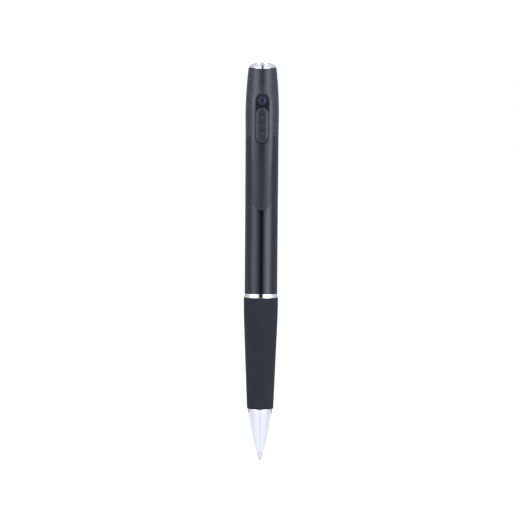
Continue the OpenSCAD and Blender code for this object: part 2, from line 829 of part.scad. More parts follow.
module seal_ring() {
    color([0.70, 0.25, 0.12]) rotate_extrude() translate([seal_center, z_plug + seal_z]) circle(r = seal_r);
}

module lens_cover() {
    half = cover_w / 2;
    front_half = half - cover_bevel_w;
    z_low = z_cover + half;
    z_high = z_cover + cover_len - half;
    z_mid = (z_low + z_high) / 2;
    color([0.22, 0.22, 0.24]) union() {
        translate([0, 0, z_low]) linear_extrude(z_high - z_low) polygon([
            [-half, -cover_back], [-half, -cover_back - cover_edge], [-front_half, -cover_front],
            [front_half, -cover_front], [half, -cover_back - cover_edge], [half, -cover_back]
        ]);
        for (z = [z_low, z_high]) translate([0, 0, z]) rotate([90, 0, 0]) {
            rod(half, cover_back, cover_back + cover_edge);
            translate([0, 0, cover_back + cover_edge])
                cylinder(r1 = half, r2 = front_half, h = cover_bevel_h);
        }
        for (i = [0 : ridge_count - 1])
            translate([
                -ridge_len / 2, -cover_front + ridge_r - ridge_out,
                z_mid + (i - (ridge_count - 1) / 2) * ridge_pitch
            ])
                rotate([0, 90, 0]) cylinder(r = ridge_r, h = ridge_len);
        slab([stem_w, cover_back - retainer_y, stem_h], -cover_back, z_stem);
    }
}

module cover_retainer() {
    color([0.65, 0.66, 0.68])
        slab([retainer_w, retainer_t, stem_h + 2 * retainer_lap], -retainer_y, z_stem - retainer_lap);
}

module joint_ring() {
    edge = ring_edge;
    color([0.88, 0.89, 0.91]) rotate_extrude() polygon([
        [sleeve_r + seat, z_ring], [barrel_r - edge, z_ring], [barrel_r, z_ring + edge],
        [barrel_r, z_barrel - edge - seat], [barrel_r - edge, z_barrel - seat],
        [sleeve_r + seat, z_barrel - seat]
    ]);
}

module coupling_sleeve() {
    color([0.45, 0.46, 0.48]) difference() {
        rod(sleeve_r, z_floor, z_barrel - seat);
        rod(sleeve_bore_r, z_floor_top, z_barrel + over);
        rod(guide_r + seat, z_floor - over, z_barrel);
        tube(sleeve_r + over, snap_bottom_r, z_snap, z_snap + snap_h);
    }
}

module guide_tube() {
    color([0.72, 0.60, 0.32]) difference() {
        union() {
            rod(guide_r, z_guide_tube, z_floor_top);
            rod(guide_flange_r, z_floor_top, z_floor_top + guide_flange_t);
        }
        rod(guide_bore_r, z_guide_tube - over, z_barrel);
        rotate([0, 0, 90]) front(-guide_r - over, guide_r + over)
            stadium(pin_d + 2 * slip, z_pin - pin_r - slip, z_pin_in + pin_r + slip);
    }
}

module retaining_ring() {
    ring_in = snap_bottom_r + seat;
    ring_out = snap_top_r - slip;
    color([0.60, 0.61, 0.63]) translate([0, 0, z_snap + slip]) rotate([0, 0, snap_open / 2])
        rotate_extrude(angle = 360 - snap_open)
            translate([ring_in, 0]) square([ring_out - ring_in, snap_h - 2 * slip]);
}

// Half section of the grip, from the axis out, thinner than the rubber's outside by inset
module grip_section(inset) {
    difference() {
        translate([-inset, 0]) union() {
            arc_side(grip_r, z_grip_top, grip_arc, z_curve, z_grip_top);
            polygon([
                [0, z_grip], [grip_end_r, z_grip],
                [grip_r - curve_drop, z_curve], [0, z_curve]
            ]);
        }
        translate([-inset - over, z_grip - over]) square([inset + over, grip_len + 2 * over]);
    }
}

module grip_core() {
    color([0.13, 0.13, 0.14]) difference() {
        rotate_extrude() grip_section(rubber_t);
        rod(core_bore_r, z_cam_top, z_grip_top + over);
        rod(cam_r + seat, z_cam, z_cam_top + over);
        rod(core_hole_r, z_grip - over, z_cam_top);
        rod(cone_spigot_r + seat, z_grip - over, z_grip + cone_spigot_h + seat);
        rod(snap_top_r, z_snap, z_snap + snap_h);
    }
}

module rubber_grip() {
    color([0.17, 0.17, 0.18]) rotate_extrude() difference() {
        grip_section(0);
        grip_section(rubber_t - seat);
        translate([grip_end_r, z_grip]) corner_cut(rubber_edge);
        translate([grip_r, z_grip_top]) mirror([0, 1]) corner_cut(rubber_edge);
    }
}

// What rounding takes off an outer lower corner at the origin
module corner_cut(r) {
    difference() {
        translate([-r, -over]) square([r + over, r + over]);
        translate([-r, r]) circle(r = r);
        translate([-r - over, r]) square(r + over);
    }
}

module nose_cone() {
    color([0.88, 0.90, 0.94]) difference() {
        union() {
            rotate_extrude() bulged_section([cone_end_d / 2, z_cone], [cone_d / 2, z_collar], cone_bulge);
            rod(collar_d / 2, z_collar, z_grip);
            rod(cone_spigot_r, z_grip, z_grip + cone_spigot_h);
        }
        rod(point_stem_d / 2 + 2 * slip, z_cone - over, z_grip);
        rod(core_hole_r, z_cone + point_len, z_grip + cone_spigot_h + over);
    }
}

module cam_sleeve() {
    rate = twist_turn / stroke;
    lead = stroke / (twist_turn * PI / 180 * cam_r);
    run_out = pin_r + slip;
    slot = 2 * (pin_r + slip) * sqrt(1 + pow(lead, 2)) / lead;
    height = stroke + 2 * run_out;
    color([0.78, 0.66, 0.36]) difference() {
        tube(cam_r, cam_bore_r, z_cam, z_cam_top);
        for (side = [0, 180]) translate([0, 0, z_pin - run_out]) rotate([0, 0, rate * run_out + side])
            linear_extrude(height, twist = rate * height, slices = 60, $fn = 4)
                translate([cam_bore_r - end_gap, -slot / 2]) square([cam_wall + 2 * end_gap, slot]);
    }
}

module refill_tube() {
    color([0.75, 0.76, 0.78]) tube(refill_r, refill_r - refill_wall, point_len, z_refill_top);
}

module writing_point() {
    ball_r = ball_d / 2;
    tail_r = refill_r - refill_wall - seat;
    color([0.80, 0.78, 0.72]) difference() {
        rotate_extrude() polygon([
            [0, rim_z], [point_rim_d / 2, rim_z], [point_shoulder_d / 2, shoulder_z],
            [point_stem_d / 2, z_cone], [point_stem_d / 2, point_len],
            [tail_r, point_len], [tail_r, point_len + point_plug], [0, point_len + point_plug]
        ]);
        translate([0, 0, ball_r]) sphere(r = ball_r + seat / 2);
        rod(ball_r / 2, 0, point_len + point_plug + over);
    }
}

module writing_ball() {
    color([0.60, 0.61, 0.64]) translate([0, 0, ball_d / 2]) sphere(d = ball_d);
}

module refill_holder() {
    color([0.85, 0.85, 0.82]) difference() {
        rod(holder_r, z_guide_tube, z_pin + holder_above);
        rod(refill_r + seat, z_guide_tube - over, z_refill_top + seat);
        translate([0, 0, z_pin]) rotate([0, 90, 0])
            cylinder(r = pin_r + seat, h = 2 * holder_r + 2 * over, center = true);
    }
}

module cross_pin() {
    color([0.70, 0.71, 0.73]) translate([0, 0, z_pin]) rotate([0, 90, 0])
        cylinder(r = pin_r, h = 2 * (cam_r - end_gap), center = true);
}

cap_clip();
upper_barrel();
top_bezel();
tact_switch();
switch_board();
status_lamp();
camera_housing();
lens_barrel();
front_lens();
image_sensor();
sensor_board();
camera_ribbon();
switch_ribbon();
main_board();
processor_chip();
memory_chip();
microphone();
battery();
inner_sled();
socket_shell();
socket_tongue();
joint_plug();
seal_ring();
record_button();
switch_plunger();
lens_cover();
cover_retainer();
joint_ring();
coupling_sleeve();
guide_tube();
retaining_ring();
grip_core();
rubber_grip();
nose_cone();
cam_sleeve();
refill_tube();
writing_point();
writing_ball();
refill_holder();
cross_pin();
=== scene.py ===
# %% [markdown]
# # A pen with a camera in its cap
#
# The CAD model is loaded first, as a fixed frame. Every CAD piece sits at its real place and size, in metres,
# with the writing point at the origin and +Z up the pen. This lesson then makes the pieces that show as
# smooth surfaces, gives every piece its finish, and lights the pen as a product photographer would.

# %% Load the frame
import json
import math

import bmesh
import bpy
import numpy as np
from mathutils import Matrix, Vector


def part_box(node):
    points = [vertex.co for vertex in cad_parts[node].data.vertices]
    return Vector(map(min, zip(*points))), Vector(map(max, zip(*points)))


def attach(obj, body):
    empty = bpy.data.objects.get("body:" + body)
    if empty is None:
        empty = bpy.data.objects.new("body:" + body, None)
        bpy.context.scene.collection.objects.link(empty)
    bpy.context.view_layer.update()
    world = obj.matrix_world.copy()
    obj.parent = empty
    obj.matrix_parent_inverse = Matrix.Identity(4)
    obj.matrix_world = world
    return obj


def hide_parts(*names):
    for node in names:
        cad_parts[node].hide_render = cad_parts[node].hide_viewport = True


MM = 0.001
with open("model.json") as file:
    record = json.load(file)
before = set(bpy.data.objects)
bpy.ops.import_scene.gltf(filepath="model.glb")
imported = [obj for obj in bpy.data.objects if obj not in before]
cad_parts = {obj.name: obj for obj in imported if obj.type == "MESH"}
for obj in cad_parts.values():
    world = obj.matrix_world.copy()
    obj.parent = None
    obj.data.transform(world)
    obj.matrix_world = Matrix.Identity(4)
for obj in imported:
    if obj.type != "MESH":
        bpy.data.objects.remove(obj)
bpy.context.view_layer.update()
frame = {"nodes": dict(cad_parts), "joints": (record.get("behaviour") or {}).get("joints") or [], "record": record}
scene = bpy.context.scene
scene.view_settings.view_transform = "Standard"


def short(*values):
    """Numbers rounded for a print."""
    return [round(float(value), 2) for value in values]


# %% [markdown]
# ## Heights along the pen
#
# A pen is designed as a stack of heights along one axis. The heights are read from the boxes of the CAD
# pieces, so that no piece has to be fitted afterwards. The maths of this lesson is in millimetres, and only a
# finished mesh is scaled to metres.

# %% Heights along the pen
SPIGOT_H, COLLAR_H = 3.2, 1.6


def box_mm(node):
    """Lowest and highest corner of a CAD piece, in millimetres."""
    low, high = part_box(node)
    return np.array(low) / MM, np.array(high) / MM


def heights_mm(node):
    """Lowest and highest place of a CAD piece along the pen, in millimetres."""
    low, high = box_mm(node)
    return low[2], high[2]


z_cone, z_cone_top = heights_mm("nose_cone")
z_grip, z_grip_top = heights_mm("rubber_grip")
z_ring, z_ring_top = heights_mm("joint_ring")
z_barrel, z_spigot_top = heights_mm("upper_barrel")
z_clip_end, z_rim = heights_mm("cap_clip")
z_skirt, z_bezel = heights_mm("top_bezel")
z_flange, z_top = heights_mm("record_button")
z_collar, z_cap = z_grip - COLLAR_H, z_spigot_top - SPIGOT_H
print("heights in mm:", short(z_cone, z_collar, z_grip, z_grip_top, z_barrel, z_cap, z_rim, z_top))

# %% [markdown]
# ## Shader maths as Python
#
# A finish is a small graph of nodes. Adding each Math node by hand hides what it computes, so one class wraps
# an output socket: adding or multiplying two wrapped values adds the Math node that does it. Every other node
# comes from the one method `make`, which takes the node's type, its settings and what goes into its sockets.


# %% A value in a node graph
class Wire:
    """One value in a node graph. Sums, differences and products of wires and numbers add Math nodes."""

    def __init__(self, tree, socket=None):
        self.tree = tree
        self.socket = socket

    def make(self, kind, settings=None, inputs=None, out=0):
        """Adds a node, sets its settings, then the values or links of its sockets, and gives one output."""
        node = self.tree.nodes.new(kind)
        for name, value in (settings or {}).items():
            setattr(node, name, value)
        for name, value in (inputs or {}).items():
            if isinstance(value, Wire):
                self.tree.links.new(value.socket, node.inputs[name])
            else:
                node.inputs[name].default_value = value
        return Wire(self.tree, node.outputs[out])

    def math(self, operation, first, second):
        """Adds a Math node on two values."""
        return self.make("ShaderNodeMath", {"operation": operation}, {0: first, 1: second})

    def __add__(self, other):
        return self.math("ADD", self, other)

    def __radd__(self, other):
        return self.math("ADD", other, self)

    def __sub__(self, other):
        return self.math("SUBTRACT", self, other)

    def __rsub__(self, other):
        return self.math("SUBTRACT", other, self)

    def __mul__(self, other):
        return self.math("MULTIPLY", self, other)

    def __rmul__(self, other):
        return self.math("MULTIPLY", other, self)


print("operators on a wire:", [name for name in vars(Wire) if name.startswith("__r")])

# %% [markdown]
# ## Camera
#
# The pen is photographed from straight in front, a little above its middle, with a long lens that keeps its
# sides parallel. The distance follows from the scale of the pen in the picture. The pen leans a hair to the
# right there, so the camera is rolled by that angle and the pen itself stays upright.

# %% Camera
IMAGE_PX = 520
PX_PER_MM = 2.653
IMAGE_MIDDLE = (-0.44, 0.0, 75.8)
LENS, SENSOR = 200.0, 36.0
ELEVATION = math.radians(2.5)
LEAN = math.radians(0.42)

distance = IMAGE_PX / PX_PER_MM * MM * LENS / SENSOR
back = Vector((0, -math.cos(ELEVATION), math.sin(ELEVATION)))
right = Vector((1, 0, 0))
up = back.cross(right)
rolled_right = right * math.cos(LEAN) + up * math.sin(LEAN)
rolled_up = up * math.cos(LEAN) - right * math.sin(LEAN)
turned_to_pen = Matrix((rolled_right, rolled_up, back)).transposed().to_4x4()
camera = bpy.data.objects.new("camera", bpy.data.cameras.new("camera"))
camera.data.lens = LENS
camera.data.sensor_width = SENSOR
camera.matrix_world = Matrix.Translation(Vector(IMAGE_MIDDLE) * MM + back * distance) @ turned_to_pen
scene.collection.objects.link(camera)
scene.camera = camera
print("camera distance in m:", short(distance))

# %% [markdown]
# ## Meshes from grids
#
# Each new piece is a grid of points worked out by a formula. `grid_faces` joins neighbours to quads, and
# `new_mesh` puts the points into a mesh, merges the points that a pole or a seam brings together and turns
# all faces outwards.

# %% Meshes from grids
MERGE_MM = 0.0005
SHARP = 40


def join(*parts):
    """Whole arrays of coordinates as one array of points, with a last axis over x, y and z."""
    return np.stack(np.broadcast_arrays(*parts), axis=-1)


def grid_faces(rows, columns, close_rows=False, close_columns=True):
    """Quads of a grid: each joins the points (i, j), (i, j + 1), (i + 1, j + 1) and (i + 1, j).
    A direction that is closed wraps round to its first points."""
    i = np.arange(rows if close_rows else rows - 1)[:, None]
    j = np.arange(columns if close_columns else columns - 1)[None, :]
    next_i, next_j = (i + 1) % rows, (j + 1) % columns
    corners = (i * columns + j, i * columns + next_j, next_i * columns + next_j, next_i * columns + j)
    return join(*corners).reshape(-1, 4)


def new_mesh(name, points, faces, sharp=SHARP):
    """Mesh of points in millimetres and quads, without the points that no quad uses. Points that meet are
    merged, all faces turn outwards, and edges below the angle sharp, in degrees, are smooth."""
    used, faces = np.unique(faces, return_inverse=True)
    places = np.asarray(points).reshape(-1, 3)[used] * MM
    mesh = bpy.data.meshes.new(name)
    mesh.from_pydata(places.tolist(), [], faces.reshape(-1, 4).tolist())
    work = bmesh.new()
    work.from_mesh(mesh)
    bmesh.ops.remove_doubles(work, verts=work.verts, dist=MERGE_MM * MM)
    bmesh.ops.recalc_face_normals(work, faces=work.faces)
    open_edges = sum(not edge.is_manifold for edge in work.edges)
    work.to_mesh(mesh)
    work.free()
    mesh.shade_smooth()
    mesh.set_sharp_from_angle(angle=math.radians(sharp))
    print(f"{name}: {len(mesh.polygons)} faces, {open_edges} open edges")
    return mesh


print("a closed grid of 3 by 4 has", len(grid_faces(3, 4, True, True)), "faces")

# %% [markdown]
# ## Floor, white surround and light tent
#
# The pen hangs over a pale floor, low enough for its lower half to be pulled off. World and floor look white
# to the camera, but they light the pen at a plain level. Polished pieces show what stands around them, so a
# light tent is added that only reflections see: a plain level all round, a soft bright panel on each side of
# the camera, and between the panels the dark gap that draws the thin dark line down a polished pen. Overhead
# the gap is narrower and softer. The back of the tent is dimmer, with one bright strip low down. Area lamps
# could make such reflections too, but each change of a reflection would then change the light on the pen.

# %% White surround
WORLD_LIGHT = 0.72
SEEN_BY = ("Is Camera Ray", "Is Glossy Ray", "Is Transmission Ray")
world = bpy.data.worlds.new("studio")
world.use_nodes = True
scene.world = world


def seen_rays(wire):
    """1 for rays that show the surround itself: from the camera, from a mirror or through glass."""
    outputs = wire.make("ShaderNodeLightPath").socket.node.outputs
    direct, mirrored, through = (Wire(wire.tree, outputs[name]) for name in SEEN_BY)
    return wire.make("ShaderNodeClamp", None, {"Value": direct + mirrored + through})


seen = seen_rays(Wire(world.node_tree))
background = world.node_tree.nodes["Background"]
background.inputs["Color"].default_value = (1, 1, 1, 1)
world.node_tree.links.new((seen + (1 - seen) * WORLD_LIGHT).socket, background.inputs["Strength"])
print("world light on the pen:", WORLD_LIGHT)


# %% Tools for the stage
def stage_paint(name):
    """New material without a shader, and a wire in its graph."""
    paint = bpy.data.materials.new(name)
    paint.use_nodes = True
    paint.node_tree.nodes.remove(paint.node_tree.nodes["Principled BSDF"])
    return paint, Wire(paint.node_tree)


def add_stage(mesh, paint, shader):
    """Links a shader to its paint's output and adds the mesh with this paint, as stage and not as the pen."""
    paint.node_tree.links.new(shader.socket, paint.node_tree.nodes["Material Output"].inputs["Surface"])
    mesh.materials.append(paint)
    stage = bpy.data.objects.new(mesh.name, mesh)
    scene.collection.objects.link(stage)
    return stage


print("the surround is seen by:", SEEN_BY)

# %% Floor
FLOOR_HALF, FLOOR_ROOM = 6000.0, 2.0
FLOOR_COLOR, FLOOR_LIFT = (0.86, 0.86, 0.86, 1), 0.2
pull = max(joint["range_m"][1] for joint in frame["joints"] if joint["name"] == "halves_pull") / MM
floor_z = -pull - FLOOR_ROOM
corner = np.linspace(-FLOOR_HALF, FLOOR_HALF, 2)
floor_x, floor_y = np.meshgrid(corner, corner)
floor_mesh = new_mesh("floor", join(floor_x, floor_y, floor_z), grid_faces(2, 2, False, False))
floor_paint, wire = stage_paint("floor_paint")
matt = wire.make("ShaderNodeBsdfDiffuse", None, {"Color": FLOOR_COLOR})
lift = wire.make("ShaderNodeEmission", None, {"Strength": seen_rays(wire) * FLOOR_LIFT})
lit = wire.make("ShaderNodeAddShader", None, {0: matt, 1: lift})
underside = wire.make("ShaderNodeNewGeometry", None, None, "Backfacing")
clear = wire.make("ShaderNodeBsdfTransparent")
one_sided = wire.make("ShaderNodeMixShader", None, {0: underside, 1: lit, 2: clear})
floor = add_stage(floor_mesh, floor_paint, one_sided)
floor.visible_glossy = False
print("floor in mm:", short(floor_z))


# %% Soft steps and bell curves
def fade(value, start, end):
    """Share that goes from 0 at start to 1 at end along a smooth curve."""
    share = np.clip((value - start) / (end - start), 0, 1)
    return share * share * (3 - 2 * share)


def bell(value, middle, spread):
    """Bell curve of height 1 about a middle."""
    return np.exp(-(((value - middle) / spread) ** 2))


print("a fade from 0 to 4 is, at 1:", fade(1, 0, 4))

# %% Panels of the tent, by directions in degrees
PANEL_SPREAD, PANEL_END = 22.0, (48, 66)
LEFT_AT, LEFT_LEVEL, LEFT_RISE, LEFT_BAND = -52.0, 2.2, 1.1, (1, 8)
RIGHT_AT, RIGHT_LEVEL, RIGHT_DROP, RIGHT_BAND = 47.0, 3.9, 0.8, (4, 25)
TOP_LEVEL, TOP_SPREAD, TOP_BAND = 0.4, 22.0, (35, 60)


def panel_light(around, side, height):
    """A bell curve of the azimuth for each panel, up to where the panels end, and a glow overhead."""
    left = LEFT_LEVEL + LEFT_RISE * fade(height, *LEFT_BAND)
    right = RIGHT_LEVEL - RIGHT_DROP * fade(height, *RIGHT_BAND)
    panels = left * bell(around, LEFT_AT, PANEL_SPREAD) + right * bell(around, RIGHT_AT, PANEL_SPREAD)
    overhead = TOP_LEVEL * bell(side, 0, TOP_SPREAD) * fade(height, *TOP_BAND)
    return panels * (1 - fade(height, *PANEL_END)) + overhead


print("panels:", short(panel_light(LEFT_AT, LEFT_AT, 0), panel_light(RIGHT_AT, RIGHT_AT, 0)))

# %% Gap between the panels
GAP_HALF, GAP_TOP_HALF, GAP_SOFT, GAP_TOP_SOFT = 13.0, 5.0, 0.12, 0.35
GAP_BAND, GAP_AHEAD, GAP_OVER = (10, 50), (-0.5, 0.2), (45, 80)


def gap_share(front, side, height):
    """1 outside the gap, 0 in it: a soft step of the angle from the middle plane, in front and overhead."""
    overhead = fade(height, *GAP_BAND)
    half = GAP_HALF + (GAP_TOP_HALF - GAP_HALF) * overhead
    soft = GAP_SOFT + (GAP_TOP_SOFT - GAP_SOFT) * overhead
    strip = np.maximum(fade(front, *GAP_AHEAD), fade(height, *GAP_OVER))
    return 1 - strip / (1 + np.exp((np.abs(side) / half - 1) / soft))


print("light left in the gap and beside it:", short(gap_share(1, 0, 0), gap_share(1, RIGHT_AT, 0)))

# %% Foot and back of the tent
FOOT_LEVEL, FOOT_BAND = 1.05, (1.6, 4.0)
FOOT_LINE, FOOT_LINE_SPREAD = 0.16, 7.0
FOOT_SIDE, FOOT_SIDE_BAND = 0.2, (40, 85)
BACK_LOW, BACK_HIGH, BACK_BAND = 0.45, 0.5, (2, 12)
BACK_STRIP, STRIP_SPREAD, STRIP_END = 3.0, 14.0, (0, 6)
BACK_AROUND, BACK_BOTTOM, BACK_TOP = (100, 138), (-12, -6), (30, 45)


def foot_light(front, side):
    """One pale level below the horizon, less a faint line in front and some shade at the sides."""
    line = FOOT_LINE * fade(front, *GAP_AHEAD) * bell(side, 0, FOOT_LINE_SPREAD)
    return FOOT_LEVEL - line - FOOT_SIDE * fade(np.abs(side), *FOOT_SIDE_BAND)


def back_light(around, height):
    """A dim level, slightly brighter higher up, and a bell curve about straight behind for the low strip."""
    level = BACK_LOW + (BACK_HIGH - BACK_LOW) * fade(height, *BACK_BAND)
    return level + BACK_STRIP * bell(np.abs(around), 180, STRIP_SPREAD) * (1 - fade(height, *STRIP_END))


print("foot in front and low strip behind:", short(foot_light(1, 0), back_light(180, 0)))

# %% Light tent
TENT_PLAIN, TENT_COLOR = 0.76, (0.95, 0.98, 1.09, 1)
TENT_R, TENT_STEPS = 1500.0, 361


def tent_glow(direction):
    """Plain level plus panels, times the gap. It turns to the foot's level below and to the back's behind."""
    front = -direction[..., 1]
    side, height = (np.degrees(np.arcsin(np.clip(direction[..., k], -1, 1))) for k in (0, 2))
    around = np.degrees(np.arctan2(direction[..., 0], front))
    ahead = (TENT_PLAIN + panel_light(around, side, height)) * gap_share(front, side, height)
    ahead = ahead + (foot_light(front, side) - ahead) * fade(-height, *FOOT_BAND)
    behind = fade(np.abs(around), *BACK_AROUND) * fade(height, *BACK_BOTTOM) * (1 - fade(height, *BACK_TOP))
    return ahead + (back_light(around, height) - ahead) * behind


turn = np.radians(np.linspace(-180, 180, TENT_STEPS))[None, :]
rise = np.radians(np.linspace(-90, 90, TENT_STEPS))[:, None]
tent_points = join(np.sin(turn) * np.cos(rise), -np.cos(turn) * np.cos(rise), np.sin(rise))
tent_level = tent_glow(tent_points)
tent_mesh = bpy.data.meshes.new("light_tent")
tent_faces = grid_faces(TENT_STEPS, TENT_STEPS, False, False)
tent_mesh.from_pydata((tent_points.reshape(-1, 3) * TENT_R * MM).tolist(), [], tent_faces.tolist())
glow = tent_mesh.attributes.new("glow", "FLOAT", "POINT")
glow.data.foreach_set("value", tent_level.ravel().astype(np.float32))
tent_paint, wire = stage_paint("tent_paint")
tent_read = wire.make("ShaderNodeAttribute", {"attribute_name": "glow"}, None, "Fac")
tent_light = wire.make("ShaderNodeEmission", None, {"Color": TENT_COLOR, "Strength": tent_read})
tent = add_stage(tent_mesh, tent_paint, tent_light)
tent.visible_camera = tent.visible_diffuse = tent.visible_transmission = tent.visible_shadow = False
print("least and most brightness of the tent:", short(tent_level.min(), tent_level.max()))

# %% Soft lamp from above the camera
LAMP_FROM = Vector((0.45, -1.0, 1.1))
LAMP_LEVEL = 0.5
LAMP_SOFT = math.radians(50)
lamp = bpy.data.objects.new("soft_lamp", bpy.data.lights.new("soft_lamp", "SUN"))
lamp.data.angle = LAMP_SOFT
lamp.data.energy = math.pi * LAMP_LEVEL
lamp.rotation_euler = LAMP_FROM.to_track_quat("Z", "Y").to_euler()
lamp.visible_glossy = False
scene.collection.objects.link(lamp)
print("lamp level on a surface that faces it:", LAMP_LEVEL)

# %% [markdown]
# ## Finishes
#
# Real finishes are never one flat colour: moulded plastic has a fine spark texture, lacquer carries faint
# handling marks, rubber has a matt grain, and turned metal shows rings. The clip's arm also gets painted shade.
# Each finish below is a Principled shader whose constants are set on its sockets. Only colour, roughness and
# the bump vary, from patterns on Object coordinates. The dictionary `finishes` keeps each one under its name.

# %% Tools for finishes
EVEN = (1, 1, 1)
MIX_SHARE, MIX_LOW, MIX_HIGH, MIX_OUT = 0, 6, 7, 2
finishes = {}


def new_finish(name, color, roughness, **constants):
    """New material with a Principled shader, kept in finishes. Gives its shader and a wire in its graph."""
    material = bpy.data.materials.new(name + "_finish")
    material.use_nodes = True
    material.diffuse_color = (*color, 1)
    shader = material.node_tree.nodes["Principled BSDF"]
    shader.inputs["Base Color"].default_value = (*color, 1)
    shader.inputs["Roughness"].default_value = roughness
    for socket, value in constants.items():
        shader.inputs[socket.replace("_", " ").title().replace("Ior", "IOR")].default_value = value
    finishes[name] = material
    return shader, Wire(material.node_tree)


def feed(shader, socket, wire):
    """Links a wire to a socket of the shader."""
    wire.tree.links.new(wire.socket, shader.inputs[socket])


def feed_bump(shader, height, depth_mm, strength=1.0):
    """Feeds the shader's normal from a height pattern of 0 to 1 that is this deep."""
    sockets = {"Strength": strength, "Distance": depth_mm * MM, "Height": height}
    feed(shader, "Normal", height.make("ShaderNodeBump", None, sockets))


def place(wire):
    """Object coordinates, in metres."""
    return wire.make("ShaderNodeTexCoord", None, None, "Object")


print("tools:", [tool.__name__ for tool in (new_finish, feed, feed_bump, place)])


# %% Patterns and colours
def noise(wire, size_mm, detail=2.0, stretch=EVEN):
    """Cloudy pattern from 0 to 1 with features of this size, drawn out along an axis by a stretch below 1."""
    scale = tuple(s / (size_mm * MM) for s in stretch)
    scaled = wire.make("ShaderNodeVectorMath", {"operation": "MULTIPLY"}, {0: place(wire), 1: scale})
    return wire.make("ShaderNodeTexNoise", None, {"Vector": scaled, "Scale": 1.0, "Detail": detail})


def swing(pattern, span):
    """A pattern of 0 to 1 as a swing of this span about 0."""
    return (pattern - 0.5) * span


def height_share(wire, low_mm, high_mm):
    """Share that goes from 0 at one height on the pen to 1 at another."""
    z = wire.make("ShaderNodeSeparateXYZ", None, {"Vector": place(wire)}, "Z")
    span = {"From Min": low_mm * MM, "From Max": high_mm * MM}
    return wire.make("ShaderNodeMapRange", {"interpolation_type": "SMOOTHSTEP"}, {"Value": z, **span})


def mix_colors(wire, low, high, share):
    """Colour between low and high, which are colours or wires, by a share from 0 to 1."""
    low, high = (color if isinstance(color, Wire) else (*color, 1) for color in (low, high))
    sockets = {MIX_SHARE: share, MIX_LOW: low, MIX_HIGH: high}
    return wire.make("ShaderNodeMix", {"data_type": "RGBA"}, sockets, MIX_OUT)


def shades(color, spread):
    """A darker and a lighter shade of a colour."""
    return tuple(c * (1 - spread) for c in color), tuple(c * (1 + spread) for c in color)


print("shades of a mid grey:", shades((0.5, 0.5, 0.5), 0.1))

# %% [markdown]
# ### Moulded plastics and rubber
#
# The cap, the clip and the lens cover are moulded in a tool with a fine spark texture, and the grip is rubber
# with a coarser one. Displaced geometry would be far too heavy for so fine a grain, so it is bump and tone.
# The clip's arm below the cap is painted a deeper black, as painted shade, and its gloss is made smoother.

# %% Moulded plastics and rubber
HANDLED_MM, MOULD_DETAIL, TEXTURE_SHARE = 9.0, 3.0, 0.7
# Painted shade on the clip's arm: a deeper black below the cap, a smoother gloss there, and the fade in mm.
ARM_SHADE_COLOR, ARM_ROUGHNESS_DROP, ARM_SHADE_FADE = (0.005, 0.007, 0.014), 0.06, 3.0


def moulded(name, color, roughness, texture_mm, depth_mm, marks=0.06, sheen=0.5, spread=0.14, arm_shade=0.0):
    """Moulded plastic or rubber: a fine spark texture in its height and tone, marks of handling in its gloss.
    Below the cap a share of it may be painted a deeper black, which is painted shade, and its gloss made smoother."""
    shader, wire = new_finish(name, color, roughness, specular_ior_level=sheen)
    texture = noise(wire, texture_mm, MOULD_DETAIL)
    handled = noise(wire, HANDLED_MM, MOULD_DETAIL)
    mixed = texture * TEXTURE_SHARE + handled * (1 - TEXTURE_SHARE)
    tone = mix_colors(wire, *shades(color, spread), mixed)
    gloss = roughness + swing(handled, marks) + swing(texture, marks)
    # Painted shade: below the cap the tone turns to a deeper black, and the gloss gets smoother.
    if arm_shade:
        arm_shaded = height_share(wire, z_cap + ARM_SHADE_FADE, z_cap - ARM_SHADE_FADE) * arm_shade
        tone = mix_colors(wire, tone, ARM_SHADE_COLOR, arm_shaded)
        gloss = gloss - arm_shaded * ARM_ROUGHNESS_DROP
    feed(shader, "Base Color", tone)
    feed(shader, "Roughness", gloss)
    feed_bump(shader, texture, depth_mm)


# The satin black carries painted shade on the clip's arm below the cap.
satin = {"marks": 0.08, "sheen": 0.42, "spread": 0.2, "arm_shade": 0.3}
moulded("satin_black", (0.025, 0.026, 0.035), 0.25, 0.11, 0.0018, **satin)
moulded("cover_black", (0.023, 0.024, 0.033), 0.31, 0.09, 0.002, sheen=0.42)
moulded("grip_rubber", (0.016, 0.016, 0.025), 0.72, 0.22, 0.04, marks=0.12, sheen=0.25, spread=0.45)
moulded("seal_rubber", (0.42, 0.12, 0.05), 0.45, 0.2, 0.004)
moulded("inner_black", (0.022, 0.022, 0.025), 0.38, 0.12, 0.004)
moulded("inner_white", (0.62, 0.62, 0.58), 0.42, 0.12, 0.003)
moulded("chip_black", (0.018, 0.018, 0.020), 0.55, 0.06, 0.003)
print("moulded finishes:", list(finishes))

# %% [markdown]
# ### Lacquer
#
# The barrel is sprayed with gloss black. A perfect mirror would look like glass, so a faint ripple bends the
# reflections a little, and streaks from wiping along the pen dull the gloss in places.

# %% Lacquer
LACQUER_ROUGH, LACQUER_SHEEN, LACQUER_SPREAD = 0.08, 0.42, 0.1
STREAK_MM, STREAK_ALONG, STREAK_LOW, STREAK_MARKS = 1.2, (1, 1, 0.08), 0.06, 0.06
RIPPLE_MM, RIPPLE_DETAIL, RIPPLE_DEPTH = 1.6, 1.0, 0.0012


def lacquered(name, color):
    """Gloss lacquer on metal: nearly a mirror, with a faint ripple and faint wiped streaks along the pen."""
    shader, wire = new_finish(name, color, LACQUER_ROUGH, specular_ior_level=LACQUER_SHEEN)
    streaks = noise(wire, STREAK_MM, stretch=STREAK_ALONG)
    ripple = noise(wire, RIPPLE_MM, RIPPLE_DETAIL)
    feed(shader, "Base Color", mix_colors(wire, *shades(color, LACQUER_SPREAD), ripple))
    feed(shader, "Roughness", STREAK_LOW + streaks * STREAK_MARKS)
    feed_bump(shader, ripple, RIPPLE_DEPTH)


lacquered("black_lacquer", (0.007, 0.0075, 0.012))
print("lacquer:", finishes["black_lacquer"].name)

